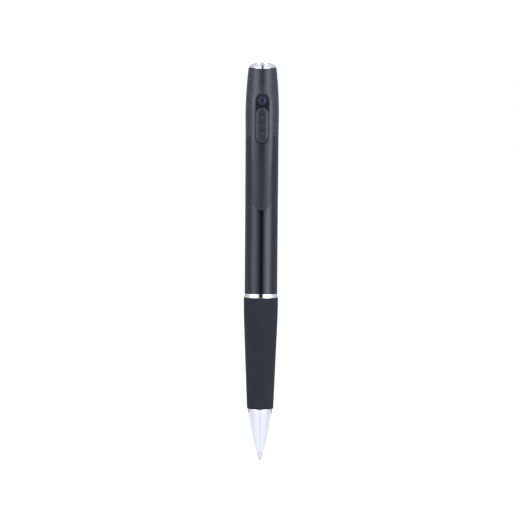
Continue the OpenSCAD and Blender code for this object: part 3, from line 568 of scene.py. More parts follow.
# %% [markdown]
# ### Metals
#
# Plated pieces are nearly mirrors with a soft cloudiness, while turned pieces keep the fine rings of the
# tool. The shader's anisotropy could blur the reflections as such rings do, but it would show no single line
# close up. So all metals share one noise pattern: drawn out across the pen it gives rings, drawn out along
# the pen brushed lines.

# %% Metals
WIPED_MM, WIPED_DETAIL, METAL_SPREAD = 6.0, 3.0, 0.04
RINGS, DRAWN, CREASED = (0.02, 0.02, 1), (1, 1, 0.05), (1, 1, 0.2)


def metal(name, color, roughness, pattern_mm, stretch, depth_mm, marks=0.05):
    """Bare or plated metal: a pattern of fine lines or clouds in its gloss, with a slight change of tone."""
    shader, wire = new_finish(name, color, roughness, metallic=1.0)
    pattern = noise(wire, pattern_mm, stretch=stretch)
    wiped = noise(wire, WIPED_MM, WIPED_DETAIL)
    feed(shader, "Base Color", mix_colors(wire, *shades(color, METAL_SPREAD), wiped))
    feed(shader, "Roughness", roughness + swing(pattern, marks) + swing(wiped, marks))
    feed_bump(shader, pattern, depth_mm)


metal("bright_chrome", (0.87, 0.87, 0.88), 0.07, 2.5, EVEN, 0.0006, marks=0.03)
metal("bright_steel", (0.60, 0.60, 0.61), 0.24, 0.06, DRAWN, 0.002)
metal("turned_aluminium", (0.50, 0.51, 0.53), 0.30, 0.05, RINGS, 0.004)
metal("turned_brass", (0.66, 0.50, 0.22), 0.26, 0.05, RINGS, 0.004)
metal("nickel_silver", (0.80, 0.77, 0.71), 0.18, 0.05, RINGS, 0.002)
metal("hard_ball", (0.42, 0.43, 0.46), 0.22, 0.05, EVEN, 0.001)
metal("cell_foil", (0.56, 0.57, 0.60), 0.34, 0.8, CREASED, 0.01, marks=0.12)
print("finishes with the metals:", len(finishes))

# %% [markdown]
# ### Boards, flat cables and the lamp
#
# These lie inside and show only when the pen is open. A brick pattern is a quick way to rows of copper
# tracks, and noise drawn out along the cable gives its parallel lines. Both follow Object coordinates, so no
# UV map is needed.

# %% Boards, flat cables and the lamp
TRACK_MM, TRACK_LEN, TRACK_PITCH, TRACK_OFFSET = 0.06, 3.1, 0.7, 0.35
TRACK_DEPTH, TRACK_RELIEF = 0.02, 0.6
MASK_MM, MASK_LOW, MASK_MARKS = 0.3, 0.30, 0.08
LINE_MM, LINES_ALONG, LINE_DEPTH = 0.25, (1, 0.01, 0.01), 0.01
CLOUD_MM, LAMP_COAT = 0.5, 0.5


def board_finish():
    """Green solder mask over copper: rows of thin tracks that show through as a lighter green."""
    shader, wire = new_finish("circuit_board", (0.012, 0.11, 0.045), 0.32)
    brick = {"Mortar Size": TRACK_MM * MM, "Brick Width": TRACK_LEN * MM, "Row Height": TRACK_PITCH * MM}
    sockets = {"Vector": place(wire), "Scale": 1.0, **brick}
    tracks = wire.make("ShaderNodeTexBrick", {"offset": TRACK_OFFSET}, sockets, "Fac")
    feed(shader, "Base Color", mix_colors(wire, (0.012, 0.10, 0.042), (0.03, 0.20, 0.07), tracks))
    feed(shader, "Roughness", MASK_LOW + noise(wire, MASK_MM) * MASK_MARKS)
    feed_bump(shader, tracks, TRACK_DEPTH, TRACK_RELIEF)


def ribbon_finish():
    """Amber film over flat copper lines that run along the cable."""
    shader, wire = new_finish("ribbon_amber", (0.55, 0.24, 0.03), 0.28)
    lines = noise(wire, LINE_MM, 0.0, LINES_ALONG)
    feed(shader, "Base Color", mix_colors(wire, (0.40, 0.15, 0.02), (0.66, 0.34, 0.06), lines))
    feed_bump(shader, lines, LINE_DEPTH)


def lamp_finish():
    """Clear resin over a pale phosphor, cloudy inside."""
    shader, wire = new_finish("lamp_clear", (0.70, 0.76, 0.80), 0.12, coat_weight=LAMP_COAT)
    cloudy = mix_colors(wire, (0.62, 0.70, 0.78), (0.80, 0.82, 0.70), noise(wire, CLOUD_MM))
    feed(shader, "Base Color", cloudy)


board_finish()
ribbon_finish()
lamp_finish()
print("boards, cables and lamp:", list(finishes)[-3:])

# %% [markdown]
# ## Turned pieces
#
# Most of a pen is turned: a profile of radius and height, carried round the axis. Blender's Spin or Screw
# would do it, but a grid is simpler to read: every row of the grid is one point of the profile, every column
# one angle. Sharp corners look false on a polished piece, so each corner of a profile is replaced by a small
# arc first.

# %% Profiles
ARC_STEPS, SOFT_STEPS = 6, 8
LONG_SIDE, HOLD_AT = 0.5, 0.04


def rounded(corners, radii, steps=ARC_STEPS, closed=True):
    """Profile through these corners, each replaced by an arc of its radius that touches both of its sides.
    The arc's middle lies on the corner's bisector, at radius / sin(half angle) from the corner."""
    corners = np.array(corners, float)
    count = len(corners)
    share = np.linspace(0, 1, steps)[:, None]
    pieces = []
    for k, (corner, radius) in enumerate(zip(corners, radii)):
        at_end = not closed and k in (0, count - 1)
        if radius == 0 or at_end:
            pieces.append(corner[None, :])
            continue
        before = corners[k - 1] - corner
        after = corners[(k + 1) % count] - corner
        before, after = before / np.linalg.norm(before), after / np.linalg.norm(after)
        half = math.acos(np.clip(before @ after, -1, 1)) / 2
        middle = corner + (before + after) / np.linalg.norm(before + after) * radius / math.sin(half)
        start = corner + before * radius / math.tan(half) - middle
        end = corner + after * radius / math.tan(half) - middle
        sweep = math.pi - 2 * half
        arc = np.sin((1 - share) * sweep) * start + np.sin(share * sweep) * end
        pieces.append(middle + arc / math.sin(sweep))
    return np.concatenate(pieces)


def held(profile, closed):
    """Adds a point near both ends of each long straight side, so that smooth shading leaves the side flat."""
    profile = np.asarray(profile, float)
    side = np.roll(profile, -1, axis=0) - profile
    length = np.linalg.norm(side, axis=1)
    near = HOLD_AT / np.maximum(length, HOLD_AT)
    share = join(0, near, 1 - near)
    kept = join(True, length > LONG_SIDE, length > LONG_SIDE)
    if not closed:
        kept[-1, 1:] = False
    return (profile[:, None, :] + side[:, None, :] * share[:, :, None])[kept]


print("a rounded corner has", ARC_STEPS, "points")

# %% Lathes and arcs
AROUND, SMALL_AROUND = 192, 96


def lathe(profile, closed=True, around=AROUND):
    """Points and faces of a profile of (radius, height) carried round the Z axis: (r cos a, r sin a, h)."""
    profile = held(profile, closed)
    radius, height = profile.T[:, :, None]
    angle = np.linspace(0, 2 * math.pi, around, endpoint=False)[None, :]
    points = join(radius * np.cos(angle), radius * np.sin(angle), height)
    return points.reshape(-1, 3), grid_faces(len(profile), around, closed)


def arc_fall(run, radius):
    """How far an arc of this radius falls over a run that starts along its tangent."""
    return radius - np.sqrt(radius**2 - np.asarray(run, float) ** 2)


def bulged(low, high, radius, steps):
    """Points on an arc of this radius from low to high. It bulges outwards: its middle lies further in."""
    low, high = np.array(low, float), np.array(high, float)
    chord = high - low
    length = np.linalg.norm(chord)
    inward = np.array([-chord[1], chord[0]]) / length
    middle = (low + high) / 2 + inward * math.sqrt(radius**2 - (length / 2) ** 2)
    first = math.atan2(*(low - middle)[::-1])
    last = math.atan2(*(high - middle)[::-1])
    angle = np.linspace(first, last, steps)
    return middle + radius * join(np.cos(angle), np.sin(angle))


def add_piece(name, shape, body, node, slot, finish=None, sharp=SHARP):
    """Makes a piece of (points, faces) that rides on a body, stands for a node and has the slot's finish."""
    mesh = new_mesh(name, *shape, sharp)
    mesh.materials.append(finishes[finish or slot])
    piece = bpy.data.objects.new(name, mesh)
    scene.collection.objects.link(piece)
    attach(piece, body)
    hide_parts(node)


print("a lathe has", AROUND, "columns")

# %% [markdown]
# ## Barrel
#
# The barrel is a lacquered tube with a spigot that the cap is pressed on. Its lower and upper edges are
# broken by a tiny radius: there the light catches, and the seam to the cap reads as a line. A Bevel modifier
# would round the hidden edges as well, so each corner of the profile has a radius of its own.

# %% Barrel
BARREL_R, BARREL_BORE_R = 6.25, 5.5
SPIGOT_R, SPIGOT_BORE_R, SPIGOT_ROOT = 5.08, 4.38, 1.0
BARREL_EDGE = 0.12
z_spigot_root = z_cap - SPIGOT_ROOT
barrel_profile = rounded(
    [
        (BARREL_BORE_R, z_barrel), (BARREL_R, z_barrel), (BARREL_R, z_cap),
        (SPIGOT_R, z_cap), (SPIGOT_R, z_spigot_top),
        (SPIGOT_BORE_R, z_spigot_top), (SPIGOT_BORE_R, z_spigot_root), (BARREL_BORE_R, z_spigot_root),
    ],
    [0, BARREL_EDGE, BARREL_EDGE, 0, 0, 0, 0, 0],
)
add_piece("barrel_tube", lathe(barrel_profile), "upper", "upper_barrel", "black_lacquer")

# %% [markdown]
# ## Bright ring, rubber grip, nose cone and writing point
#
# A plated ring closes the barrel. The grip is a rubber sleeve whose thin lip laps over the ring. It tapers to
# the collar of a plated nose cone, whose side bulges very slightly. Straight cones would be quicker to make,
# but a polished piece shows them at once in its reflections, so the curved sides are true arcs. Out of the
# cone's hole comes the writing point of the refill with its ball. All but the ball are closed shells with
# their real bores, because the point is drawn in when the grip is twisted and the hole then shows.

# %% Bright ring
RING_BORE_R = 5.17
RING_LOW_EDGE, RING_EDGE = 0.3, 0.12
ring_profile = rounded(
    [(RING_BORE_R, z_ring), (BARREL_R, z_ring), (BARREL_R, z_ring_top), (RING_BORE_R, z_ring_top)],
    [0, RING_LOW_EDGE, RING_EDGE, 0],
)
add_piece("bright_ring", lathe(ring_profile), "coupling", "joint_ring", "bright_chrome")

# %% Rubber grip
GRIP_R, GRIP_END_R = 6.48, 4.98
GRIP_CURVE, GRIP_ROWS = 9.3, 40
RUBBER_T, RUBBER_EDGE = 0.68, 0.35
LIP_LAP, LIP_GAP, LIP_EDGE = 0.25, 0.03, 0.09
grip_slope = (GRIP_R - GRIP_END_R) / (z_grip_top - z_grip - GRIP_CURVE / 2)
grip_arc = GRIP_CURVE / grip_slope
z_curve = np.linspace(z_grip_top - GRIP_CURVE, z_grip_top, GRIP_ROWS)
curve_r = GRIP_R - arc_fall(z_grip_top - z_curve, grip_arc)
grip_side = np.concatenate([[(GRIP_END_R, z_grip)], join(curve_r, z_curve)])
grip_inside = grip_side[::-1] - (RUBBER_T, 0)
lip_r = BARREL_R + LIP_GAP
lip = [(GRIP_R, z_ring + LIP_LAP), (lip_r, z_ring + LIP_LAP), (lip_r, z_ring - LIP_GAP)]
grip_trimmed = grip_side[grip_side[:, 1] < z_grip_top - RUBBER_EDGE]
grip_corners = np.concatenate([grip_trimmed, lip, grip_inside])
side_radii, lip_radii = [RUBBER_EDGE] + [0] * (len(grip_trimmed) - 1), [LIP_EDGE, LIP_EDGE, 0]
grip_profile = rounded(grip_corners, side_radii + lip_radii + [0] * len(grip_inside), SOFT_STEPS)
add_piece("grip_sleeve", lathe(grip_profile), "grip", "rubber_grip", "grip_rubber")

# %% Nose cone
COLLAR_R, CONE_R, CONE_END_R = 4.7, 4.48, 1.45
CONE_BULGE, CONE_ROWS = 86.0, 40
CONE_HOLE_R, CONE_BORE_R, CONE_SPIGOT_R = 1.2, 1.55, 3.3
COLLAR_EDGE, TIP_EDGE = 0.12, 0.12
POINT_LEN = 8.0
z_bore = z_cone + POINT_LEN
cone_side = bulged((CONE_END_R, z_cone), (CONE_R, z_collar), CONE_BULGE, CONE_ROWS)
cone_corners = np.concatenate(
    [
        [(CONE_HOLE_R, z_cone)], cone_side,
        [(COLLAR_R, z_collar), (COLLAR_R, z_grip), (CONE_SPIGOT_R, z_grip), (CONE_SPIGOT_R, z_cone_top)],
        [(CONE_BORE_R, z_cone_top), (CONE_BORE_R, z_bore), (CONE_HOLE_R, z_bore)],
    ]
)
cone_radii = [0, TIP_EDGE] + [0] * (CONE_ROWS - 1) + [COLLAR_EDGE, COLLAR_EDGE, 0, 0, 0, 0, 0]
add_piece("nose_cone_shell", lathe(rounded(cone_corners, cone_radii)), "grip", "nose_cone", "bright_chrome")

# %% Writing point and ball
POINT_RIM_R, POINT_SHOULDER_R, POINT_STEM_R, POINT_TAIL_R = 0.43, 0.92, 1.1, 0.88
RIM_Z, SHOULDER_Z, POINT_TAIL = 0.26, 1.5, 3.0
INK_R, INK_SINK = 0.175, 0.1
POINT_EDGES = (0.03, 0.15, 0.4, 0.1)
BALL_R, BALL_ROWS, BALL_AROUND = 0.35, 24, 64
z_tail = POINT_LEN + POINT_TAIL
point_profile = rounded(
    [
        (INK_R, RIM_Z + INK_SINK), (POINT_RIM_R, RIM_Z), (POINT_SHOULDER_R, SHOULDER_Z),
        (POINT_STEM_R, z_cone), (POINT_STEM_R, POINT_LEN), (POINT_TAIL_R, POINT_LEN),
        (POINT_TAIL_R, z_tail), (INK_R, z_tail),
    ],
    [0, *POINT_EDGES, 0, 0, 0],
)
point_shape = lathe(point_profile, around=SMALL_AROUND)
add_piece("point_shell", point_shape, "refill", "writing_point", "nickel_silver")
tilt = np.linspace(-math.pi / 2, math.pi / 2, BALL_ROWS)
ball_profile = join(BALL_R * np.cos(tilt), BALL_R + BALL_R * np.sin(tilt))
add_piece("point_ball", lathe(ball_profile, False, BALL_AROUND), "refill", "writing_ball", "hard_ball")

# %% [markdown]
# ## Bezel and record button
#
# The top is a plated bezel with a bulging side and, in its hole, a domed button with a soft edge. The button
# moves down in the bezel, so its side runs on to the flange that keeps it in. The cap's rim is a little lower
# at the front, and the bezel's foot follows it. A Lattice modifier on each could bend them, but then their
# edges might part. So both are made level first, and one function lowers the points of both.

# %% Dip of the rim
RIM_DIP, DIP_POWER, DIP_BELOW, DIP_FROM_R = 0.5, 6, 4.0, 4.4


def dipped(points):
    """Lowers points at the front of the rim: the dip times a power of the cosine of the angle from the front.
    It fades out below the rim and up the bezel's side, and leaves what lies in the bezel's skirt alone."""
    x, y, z = np.moveaxis(points, -1, 0)
    radius = np.linalg.norm(points[..., :2], axis=-1)
    facing = np.clip(-y / np.maximum(radius, DIP_FROM_R), 0, 1) ** DIP_POWER
    share = fade(z, z_rim - DIP_BELOW, z_rim) * (1 - fade(z, z_rim, z_bezel))
    return join(x, y, z - RIM_DIP * facing * share * (radius > DIP_FROM_R))


rim_front = np.array([0, -BARREL_R, z_rim])
print("front of the rim, lowered in mm:", short(z_rim - dipped(rim_front)[2]))

# %% Bezel
BEZEL_FOOT_R, BEZEL_HOLE_R, BEZEL_LIP = 5.17, 3.1, 0.25
BEZEL_BULGE, BEZEL_ROWS, BEZEL_EDGE = 3.0, 20, 0.06
SKIRT_R, SKIRT_BORE_R, GUIDE_DEPTH = 4.43, 3.88, 2.6
z_guide = z_bezel - GUIDE_DEPTH
bezel_side = bulged((BEZEL_FOOT_R, z_rim), (BEZEL_HOLE_R + BEZEL_LIP, z_bezel), BEZEL_BULGE, BEZEL_ROWS)
bezel_corners = np.concatenate(
    [
        [(SKIRT_R, z_skirt), (SKIRT_R, z_rim)], bezel_side,
        [(BEZEL_HOLE_R, z_bezel), (BEZEL_HOLE_R, z_guide), (SKIRT_BORE_R, z_guide), (SKIRT_BORE_R, z_skirt)],
    ]
)
bezel_radii = [0, 0] + [0] * (BEZEL_ROWS - 1) + [BEZEL_EDGE, BEZEL_EDGE, 0, 0, 0]
bezel_points, bezel_faces = lathe(rounded(bezel_corners, bezel_radii))
add_piece("bezel_ring", (dipped(bezel_points), bezel_faces), "upper", "top_bezel", "bright_chrome")

# %% Record button
BUTTON_R, FLANGE_R, FLANGE_T = 3.05, 3.75, 1.0
BUTTON_DOME, BUTTON_EDGE = 0.27, 0.14
DOME_ROWS, DOME_CLEAR = 24, 0.05
z_flange_top = z_flange + FLANGE_T
dome_arc = (BUTTON_R**2 + BUTTON_DOME**2) / (2 * BUTTON_DOME)
dome_r = np.linspace(0, BUTTON_R, DOME_ROWS)
dome = join(dome_r, z_top - arc_fall(dome_r, dome_arc))
dome = np.concatenate([dome[dome_r < BUTTON_R - BUTTON_EDGE - DOME_CLEAR], dome[-1:]])
flange = [(BUTTON_R, z_flange_top), (FLANGE_R, z_flange_top), (FLANGE_R, z_flange), (0, z_flange)]
button_radii = [0] * (len(dome) - 1) + [BUTTON_EDGE, 0, 0, 0, 0]
button_profile = rounded(np.concatenate([dome, flange]), button_radii, SOFT_STEPS, False)
add_piece("button_cap", lathe(button_profile, False), "record_button", "record_button", "bright_chrome")

# %% [markdown]
# ## Cap with its clip, one moulding
#
# The cap and the pocket clip are one black moulding. It could be cut out with Booleans, but then its edges
# would have to be bevelled by hand. Here it is one grid: every row is the outline of the moulding at one
# height. On the cap that outline is a radius for each angle, the larger of the round cap and the raised clip,
# with the corner between them filled. Below the cap the outline closes behind the clip's arm.

# %% Sizes of the cap and the clip
CAP_R, CAP_RIM_R, CAP_BELLY = 6.32, 5.27, 7.7
CAP_BORE_R, CAP_BORE_DEPTH = 4.45, 7.1
CREST_R, CREST_UP, CLIP_DROP, CLIP_T = 8.5, 9.7, 0.95, 1.15
RAMP_LEN, RAMP_SINK = 8.5, 0.3
ROOT_R, ROOT_H, ROOT_BELOW, ROOT_ABOVE = 6.35, 5.5, 0.6, 0.4
CLIP_HALF, CLIP_END_HALF, CLIP_CORNER = 4.15, 3.3, 3.2
SLOT_DROP = 2.8
CAP_EDGE, RIM_EDGE, CLIP_EDGE, INNER_EDGE = 0.15, 0.1, 0.5, 0.2
LONG_EDGE, FILLET = 0.9, 1.2
z_belly, z_crest = z_cap + CAP_BELLY, z_cap + CREST_UP
z_root, z_slot = z_cap - ROOT_H, z_cap - SLOT_DROP
z_corner = z_clip_end + CLIP_CORNER


def arc_radius(run, fall):
    """Radius of an arc that falls this far over a run that starts along its tangent."""
    return (run**2 + fall**2) / (2 * fall)


cap_arc = arc_radius(z_rim - z_belly, CAP_R - CAP_RIM_R)
arm_arc = arc_radius(z_crest - z_clip_end, CLIP_DROP)
ramp_fall = CREST_R - (CAP_R - arc_fall(z_crest + RAMP_LEN - z_belly, cap_arc)) + RAMP_SINK
ramp_arc = arc_radius(RAMP_LEN, ramp_fall)
print("arcs of cap, arm and ramp in mm:", short(cap_arc, arm_arc, ramp_arc))


# %% Outlines of the cap and the clip
def rounded_off(depth, radius):
    """How far a rounded edge lies below its face, at this distance in from the edge: a quarter circle."""
    left = np.clip(radius - depth, 0, radius)
    return radius - np.sqrt(radius**2 - left**2)


def cap_radius(z):
    """Radius of the cap: a straight flare to its widest place, an arc above it, both edges rounded off."""
    flare = BARREL_R + (CAP_R - BARREL_R) * np.clip((z - z_cap) / CAP_BELLY, 0, 1)
    plain = flare - arc_fall(np.clip(z - z_belly, 0, None), cap_arc)
    return plain - rounded_off(z - z_cap, CAP_EDGE) - rounded_off(z_rim - z, RIM_EDGE)


def clip_plain(z):
    """Radius of the clip's front: one long arc below the crest and a short one, the ramp, above it."""
    below = arc_fall(np.clip(z_crest - z, 0, None), arm_arc)
    return CREST_R - below - arc_fall(np.clip(z - z_crest, 0, ramp_arc), ramp_arc)


def clip_front(z):
    """Radius of the clip's front, rounded off at the clip's end."""
    return clip_plain(z) - rounded_off(z - z_clip_end, CLIP_EDGE)


def clip_inside(z):
    """Radius of the arm's inner face: parallel to the front, then a soft step to the root on the barrel."""
    free = clip_plain(z) - CLIP_T + rounded_off(z - z_clip_end, INNER_EDGE)
    return free + (ROOT_R - free) * fade(z, z_root - ROOT_BELOW, z_root + ROOT_ABOVE)


def clip_half(z):
    """Half width of the clip: it tapers below the slot and ends in two round corners."""
    taper = np.clip((z - z_corner) / (z_slot - z_corner), 0, 1)
    return CLIP_END_HALF + (CLIP_HALF - CLIP_END_HALF) * taper - rounded_off(z - z_clip_end, CLIP_CORNER)


print("clip's half width at the slot and above its end:", short(clip_half(z_slot), clip_half(z_corner)))

# %% Rows of the moulding
FRONT_COLUMNS, EDGE_COLUMNS, WALL_COLUMNS, BACK_COLUMNS = 49, 15, 11, 45
FRONT_SHARE, BACK_CROWD = 0.78, 1.4
LEAST_RISE, LEAST_SINE = 0.01, 0.001
front_share = np.linspace(-FRONT_SHARE, FRONT_SHARE, FRONT_COLUMNS)[None, :]
edge_sine = np.sin(np.linspace(0, math.pi / 2, EDGE_COLUMNS)[None, 1:])
edge_share = FRONT_SHARE + (1 - FRONT_SHARE) * edge_sine
wall_share = np.linspace(0, 1, WALL_COLUMNS)[None, 1:]
back_share = np.linspace(0, 1, BACK_COLUMNS)[None, 1:] ** BACK_CROWD


def smooth_least(a, b, span):
    """The smaller of a and b, with the corner where they meet rounded over this span."""
    near = np.maximum(span - np.abs(a - b), 0) / span
    return np.minimum(a, b) - near**2 * span / 4


def smooth_most(a, b, span):
    """The larger of a and b, with the corner where they meet filled over this span."""
    return -smooth_least(-a, -b, span)


def moulding_rows(z, on_cap):
    """Rows of the moulding at the heights z: front, edges, side walls and back, mirrored about x = 0. A point
    is a radius at an angle. A side wall at half the clip's width has the radius half width / sin(angle)."""
    z = z[:, None]
    front, half, cap = clip_front(z), clip_half(z), cap_radius(z)
    base = cap if on_cap else clip_inside(z)
    top = np.maximum(front, base + LEAST_RISE)
    edge_angle = np.arcsin(half / top)
    base_angle = np.arcsin(half / base)
    wall_angle = np.arcsin(half / (top + (base - top) * wall_share))
    back_angle = base_angle + ((math.pi if on_cap else 0.0) - base_angle) * back_share
    outer = np.concatenate([edge_share * edge_angle, wall_angle, back_angle], axis=1)
    angle = np.concatenate([-outer[:, ::-1], front_share * edge_angle, outer], axis=1)
    side = half / np.maximum(np.abs(np.sin(angle)), LEAST_SINE)
    raised = smooth_least(front, side, LONG_EDGE)
    if on_cap:
        raised = np.where(np.abs(angle) < math.pi / 2, raised, 0)
        radius = smooth_most(cap, raised, FILLET)
    else:
        radius = raised.copy()
        radius[:, : back_share.size] = base
        radius[:, -back_share.size :] = base
    return join(radius * np.sin(angle), -radius * np.cos(angle), z)


print("a row has", front_share.size + 2 * (edge_share.size + wall_share.size + back_share.size), "points")

# %% Grid of the moulding
CORNER_ROWS, ARM_ROWS, CAP_ROWS = 28, 80, 90
SEAM_STRIDE, RIM_STRIDE = 4, 5
ease = 1 - np.cos(np.linspace(0, math.pi / 2, CORNER_ROWS))
arm_z = np.concatenate([z_clip_end + CLIP_CORNER * ease, np.linspace(z_corner, z_cap, ARM_ROWS)[1:]])
seam_z = z_cap + CAP_EDGE * ease[::SEAM_STRIDE]
rim_z = z_rim - RIM_EDGE * ease[::-RIM_STRIDE]
cap_z = np.concatenate([seam_z, np.linspace(seam_z[-1], rim_z[0], CAP_ROWS)[1:-1], rim_z])
arm_rows = moulding_rows(arm_z, False)
cap_rows = moulding_rows(cap_z, True)
columns = arm_rows.shape[1]
end_point = np.array([0, -(clip_front(z_clip_end) + clip_inside(z_clip_end)) / 2, z_clip_end])
end_row = np.tile(end_point, (1, columns, 1))
outward = cap_rows[-1] * (1, 1, 0) / np.linalg.norm(cap_rows[-1][:, :2], axis=1)[:, None]
bore_floor = z_rim - CAP_BORE_DEPTH
bore_steps = ((CAP_BORE_R, z_rim), (CAP_BORE_R, bore_floor), (0, bore_floor))
bore_rows = [outward * radius + (0, 0, z) for radius, z in bore_steps]
rows = dipped(np.concatenate([end_row, arm_rows, cap_rows, np.array(bore_rows)]))
print("moulding:", rows.shape[0], "rows of", columns, "points")

# %% [markdown]
# The slot for the lens cover is set into the front of this grid. A block of the grid is left out, and a
# second grid fills it: its first ring is the block's border, its last rings run along the slot's rounded rim,
# down its wall and over its floor. Each ring point is found from the nearest point of the slot's middle line,
# so that the rings turn smoothly from a rectangle into the slot's round ends. The slot is drawn a hair
# narrower than the CAD slot, and the cover a hair wider, because the line between them is fine on the real
# pen.

# %% Block left out for the slot
SLOT_R, SLOT_DOWN, SLOT_FLOOR = 2.6, 9.8, 6.8
BLOCK_BELOW, BLOCK_ABOVE = 2.5, 2.6
z_lens = z_rim - SLOT_DOWN - SLOT_R
z_slot_low = z_slot + SLOT_R
heights = rows[:, columns // 2, 2]
first_row = int(np.argmax(heights >= z_slot - BLOCK_BELOW))
last_row = int(np.argmax(heights >= z_lens + SLOT_R + BLOCK_ABOVE))
first_column = (columns - FRONT_COLUMNS) // 2
last_column = first_column + FRONT_COLUMNS - 1
border = np.concatenate(
    [
        rows[first_row, first_column:last_column],
        rows[first_row:last_row, last_column],
        rows[last_row, last_column:first_column:-1],
        rows[last_row:first_row:-1, first_column],
    ]
)
spine = np.clip(border[:, 2], z_slot_low, z_lens)
away = join(border[:, 0], border[:, 2] - spine)
away = away / np.linalg.norm(away, axis=1)[:, None]
print("border of the slot's block:", len(border), "points")

# %% Rings of the slot
LENS_SEAT_R, LENS_SEAT_DEPTH = 1.9, 0.9
SLOT_EDGE, SNUG = 0.15, 0.08
FLAT_RINGS, BEND_RINGS = 12, 6
wall_r, seat_floor = SLOT_R - SNUG, SLOT_FLOOR - LENS_SEAT_DEPTH


def front_depth(x, z):
    """How far in front of the axis the clip's face lies at (x, z)."""
    on_cap = smooth_most(cap_radius(np.maximum(z, z_cap)), clip_front(z), FILLET)
    return np.sqrt(np.where(z < z_cap, clip_front(z), on_cap) ** 2 - x**2)


def slot_ring(reach, depth=None):
    """Ring round the slot at this distance from its middle line, at a depth or on the clip's face."""
    x, z = away[:, 0] * reach, spine + away[:, 1] * reach
    y = front_depth(x, z) if depth is None else depth
    return join(x, -y, z)


rim_ring = slot_ring(wall_r + SLOT_EDGE)
patch = []
for share in np.linspace(0, 1, FLAT_RINGS)[:-1]:
    x, _, z = (border + (rim_ring - border) * share).T
    patch.append(join(x, -front_depth(x, z), z))
for bend in np.linspace(0, math.pi / 2, BEND_RINGS):
    ring = slot_ring(wall_r + SLOT_EDGE * (1 - math.sin(bend)))
    ring[:, 1] = rim_ring[:, 1] + SLOT_EDGE * (1 - math.cos(bend))
    patch.append(ring)
steps_down = ((wall_r, SLOT_FLOOR), (LENS_SEAT_R, SLOT_FLOOR), (LENS_SEAT_R, seat_floor), (0.0, seat_floor))
patch += [slot_ring(reach, depth) for reach, depth in steps_down]
print("slot:", len(patch), "rings")

# %% Cap and clip
CAP_SHARP = 50
i, j = np.divmod(np.arange((rows.shape[0] - 1) * (columns - 1)), columns - 1)
outside = (i < first_row) | (i >= last_row) | (j < first_column) | (j >= last_column)
row_faces = grid_faces(rows.shape[0], columns, False, False)[outside]
patch_faces = grid_faces(len(patch), len(border)) + rows.shape[0] * columns
moulding_points = np.concatenate([rows.reshape(-1, 3), *patch])
moulding = (moulding_points, np.concatenate([row_faces, patch_faces]))
add_piece("cap_and_clip", moulding, "upper", "cap_clip", "satin_black", sharp=CAP_SHARP)

# %% [markdown]
# ## Lens cover
#
# The cover is a small sliding plate with round ends, a wide flat bevel all round and three finger ridges. It
# is a profile carried round the same kind of outline. Bars set on the face would leave hard seams, so the
# face is a fine grid and the ridges are raised from it as part of the same surface.

# %% Sizes of the lens cover
COVER_BACK, COVER_EDGE, COVER_BEVEL_W, COVER_BEVEL_H = 6.85, 0.95, 1.1, 0.3
COVER_ROUNDING = (0.05, 0.14, 0.2)
cover_low, cover_high = box_mm("lens_cover")
cover_half = (cover_high[0] - cover_low[0]) / 2 + SNUG
z_cover, z_cover_top = cover_low[2] - SNUG, cover_high[2] + SNUG
cover_middle = (z_cover + z_cover_top) / 2
cover_front = COVER_BACK + COVER_EDGE + COVER_BEVEL_H
print("width and length of the cover in mm:", short(2 * cover_half, z_cover_top - z_cover))

# %% Outline and ridges of the lens cover
RIDGE_COUNT, RIDGE_PITCH, RIDGE_LEN, RIDGE_R, RIDGE_OUT = 3, 3.0, 1.4, 0.5, 0.18
SIDE_COLUMNS, END_COLUMNS = 100, 40


def stadium_path(low, high, along, around):
    """Middle-line height and outward angle of each point round an upright outline with round ends."""
    rise = np.linspace(low, high, along, endpoint=False)
    fall = np.linspace(high, low, along, endpoint=False)
    bend = np.linspace(0, math.pi, around, endpoint=False)
    heights = np.concatenate([rise, np.full(around, high), fall, np.full(around, low)])
    angles = np.concatenate([np.zeros(along), bend, np.full(along, math.pi), math.pi + bend])
    return heights[None, :], angles[None, :]


def ridge_height(x, z):
    """How far the ridges stand out: the part of a round bar with round ends that lies above the face."""
    steps = np.arange(RIDGE_COUNT) - (RIDGE_COUNT - 1) / 2
    up = np.min(np.abs(z[..., None] - cover_middle - steps * RIDGE_PITCH), axis=-1)
    along = np.maximum(np.abs(x) - RIDGE_LEN / 2 + RIDGE_R / 2, 0)
    bar = np.sqrt(np.maximum(RIDGE_R**2 - up**2 - along**2, 0))
    return np.maximum(bar - RIDGE_R + RIDGE_OUT, 0)


middle_z, angle = stadium_path(z_cover + cover_half, z_cover_top - cover_half, SIDE_COLUMNS, END_COLUMNS)
print("cover's outline:", angle.size, "points")

# %% Lens cover
FACE_RINGS = 36
COVER_SHARP = 60
edge_profile = rounded(
    [
        (0, COVER_BACK), (cover_half, COVER_BACK), (cover_half, COVER_BACK + COVER_EDGE),
        (cover_half - COVER_BEVEL_W, cover_front), (0, cover_front),
    ],
    [0, *COVER_ROUNDING, 0],
    closed=False,
)
face_reach = np.linspace(edge_profile[-2, 0], 0, FACE_RINGS)[1:]
cover_profile = np.concatenate([edge_profile[:-1], join(face_reach, cover_front)])
reach, out = cover_profile.T[:, :, None]
cover_x = reach * np.cos(angle)
cover_z = middle_z + reach * np.sin(angle)
on_face = (np.arange(len(cover_profile)) >= len(edge_profile) - 2)[:, None]
cover_y = -(out + np.where(on_face, ridge_height(cover_x, cover_z), 0))
cover_shape = (join(cover_x, cover_y, cover_z), grid_faces(len(cover_profile), angle.size))
cover_look = {"finish": "cover_black", "sharp": COVER_SHARP}
add_piece("cover_slide_plate", cover_shape, "lens_cover", "lens_cover", "satin_black", **cover_look)

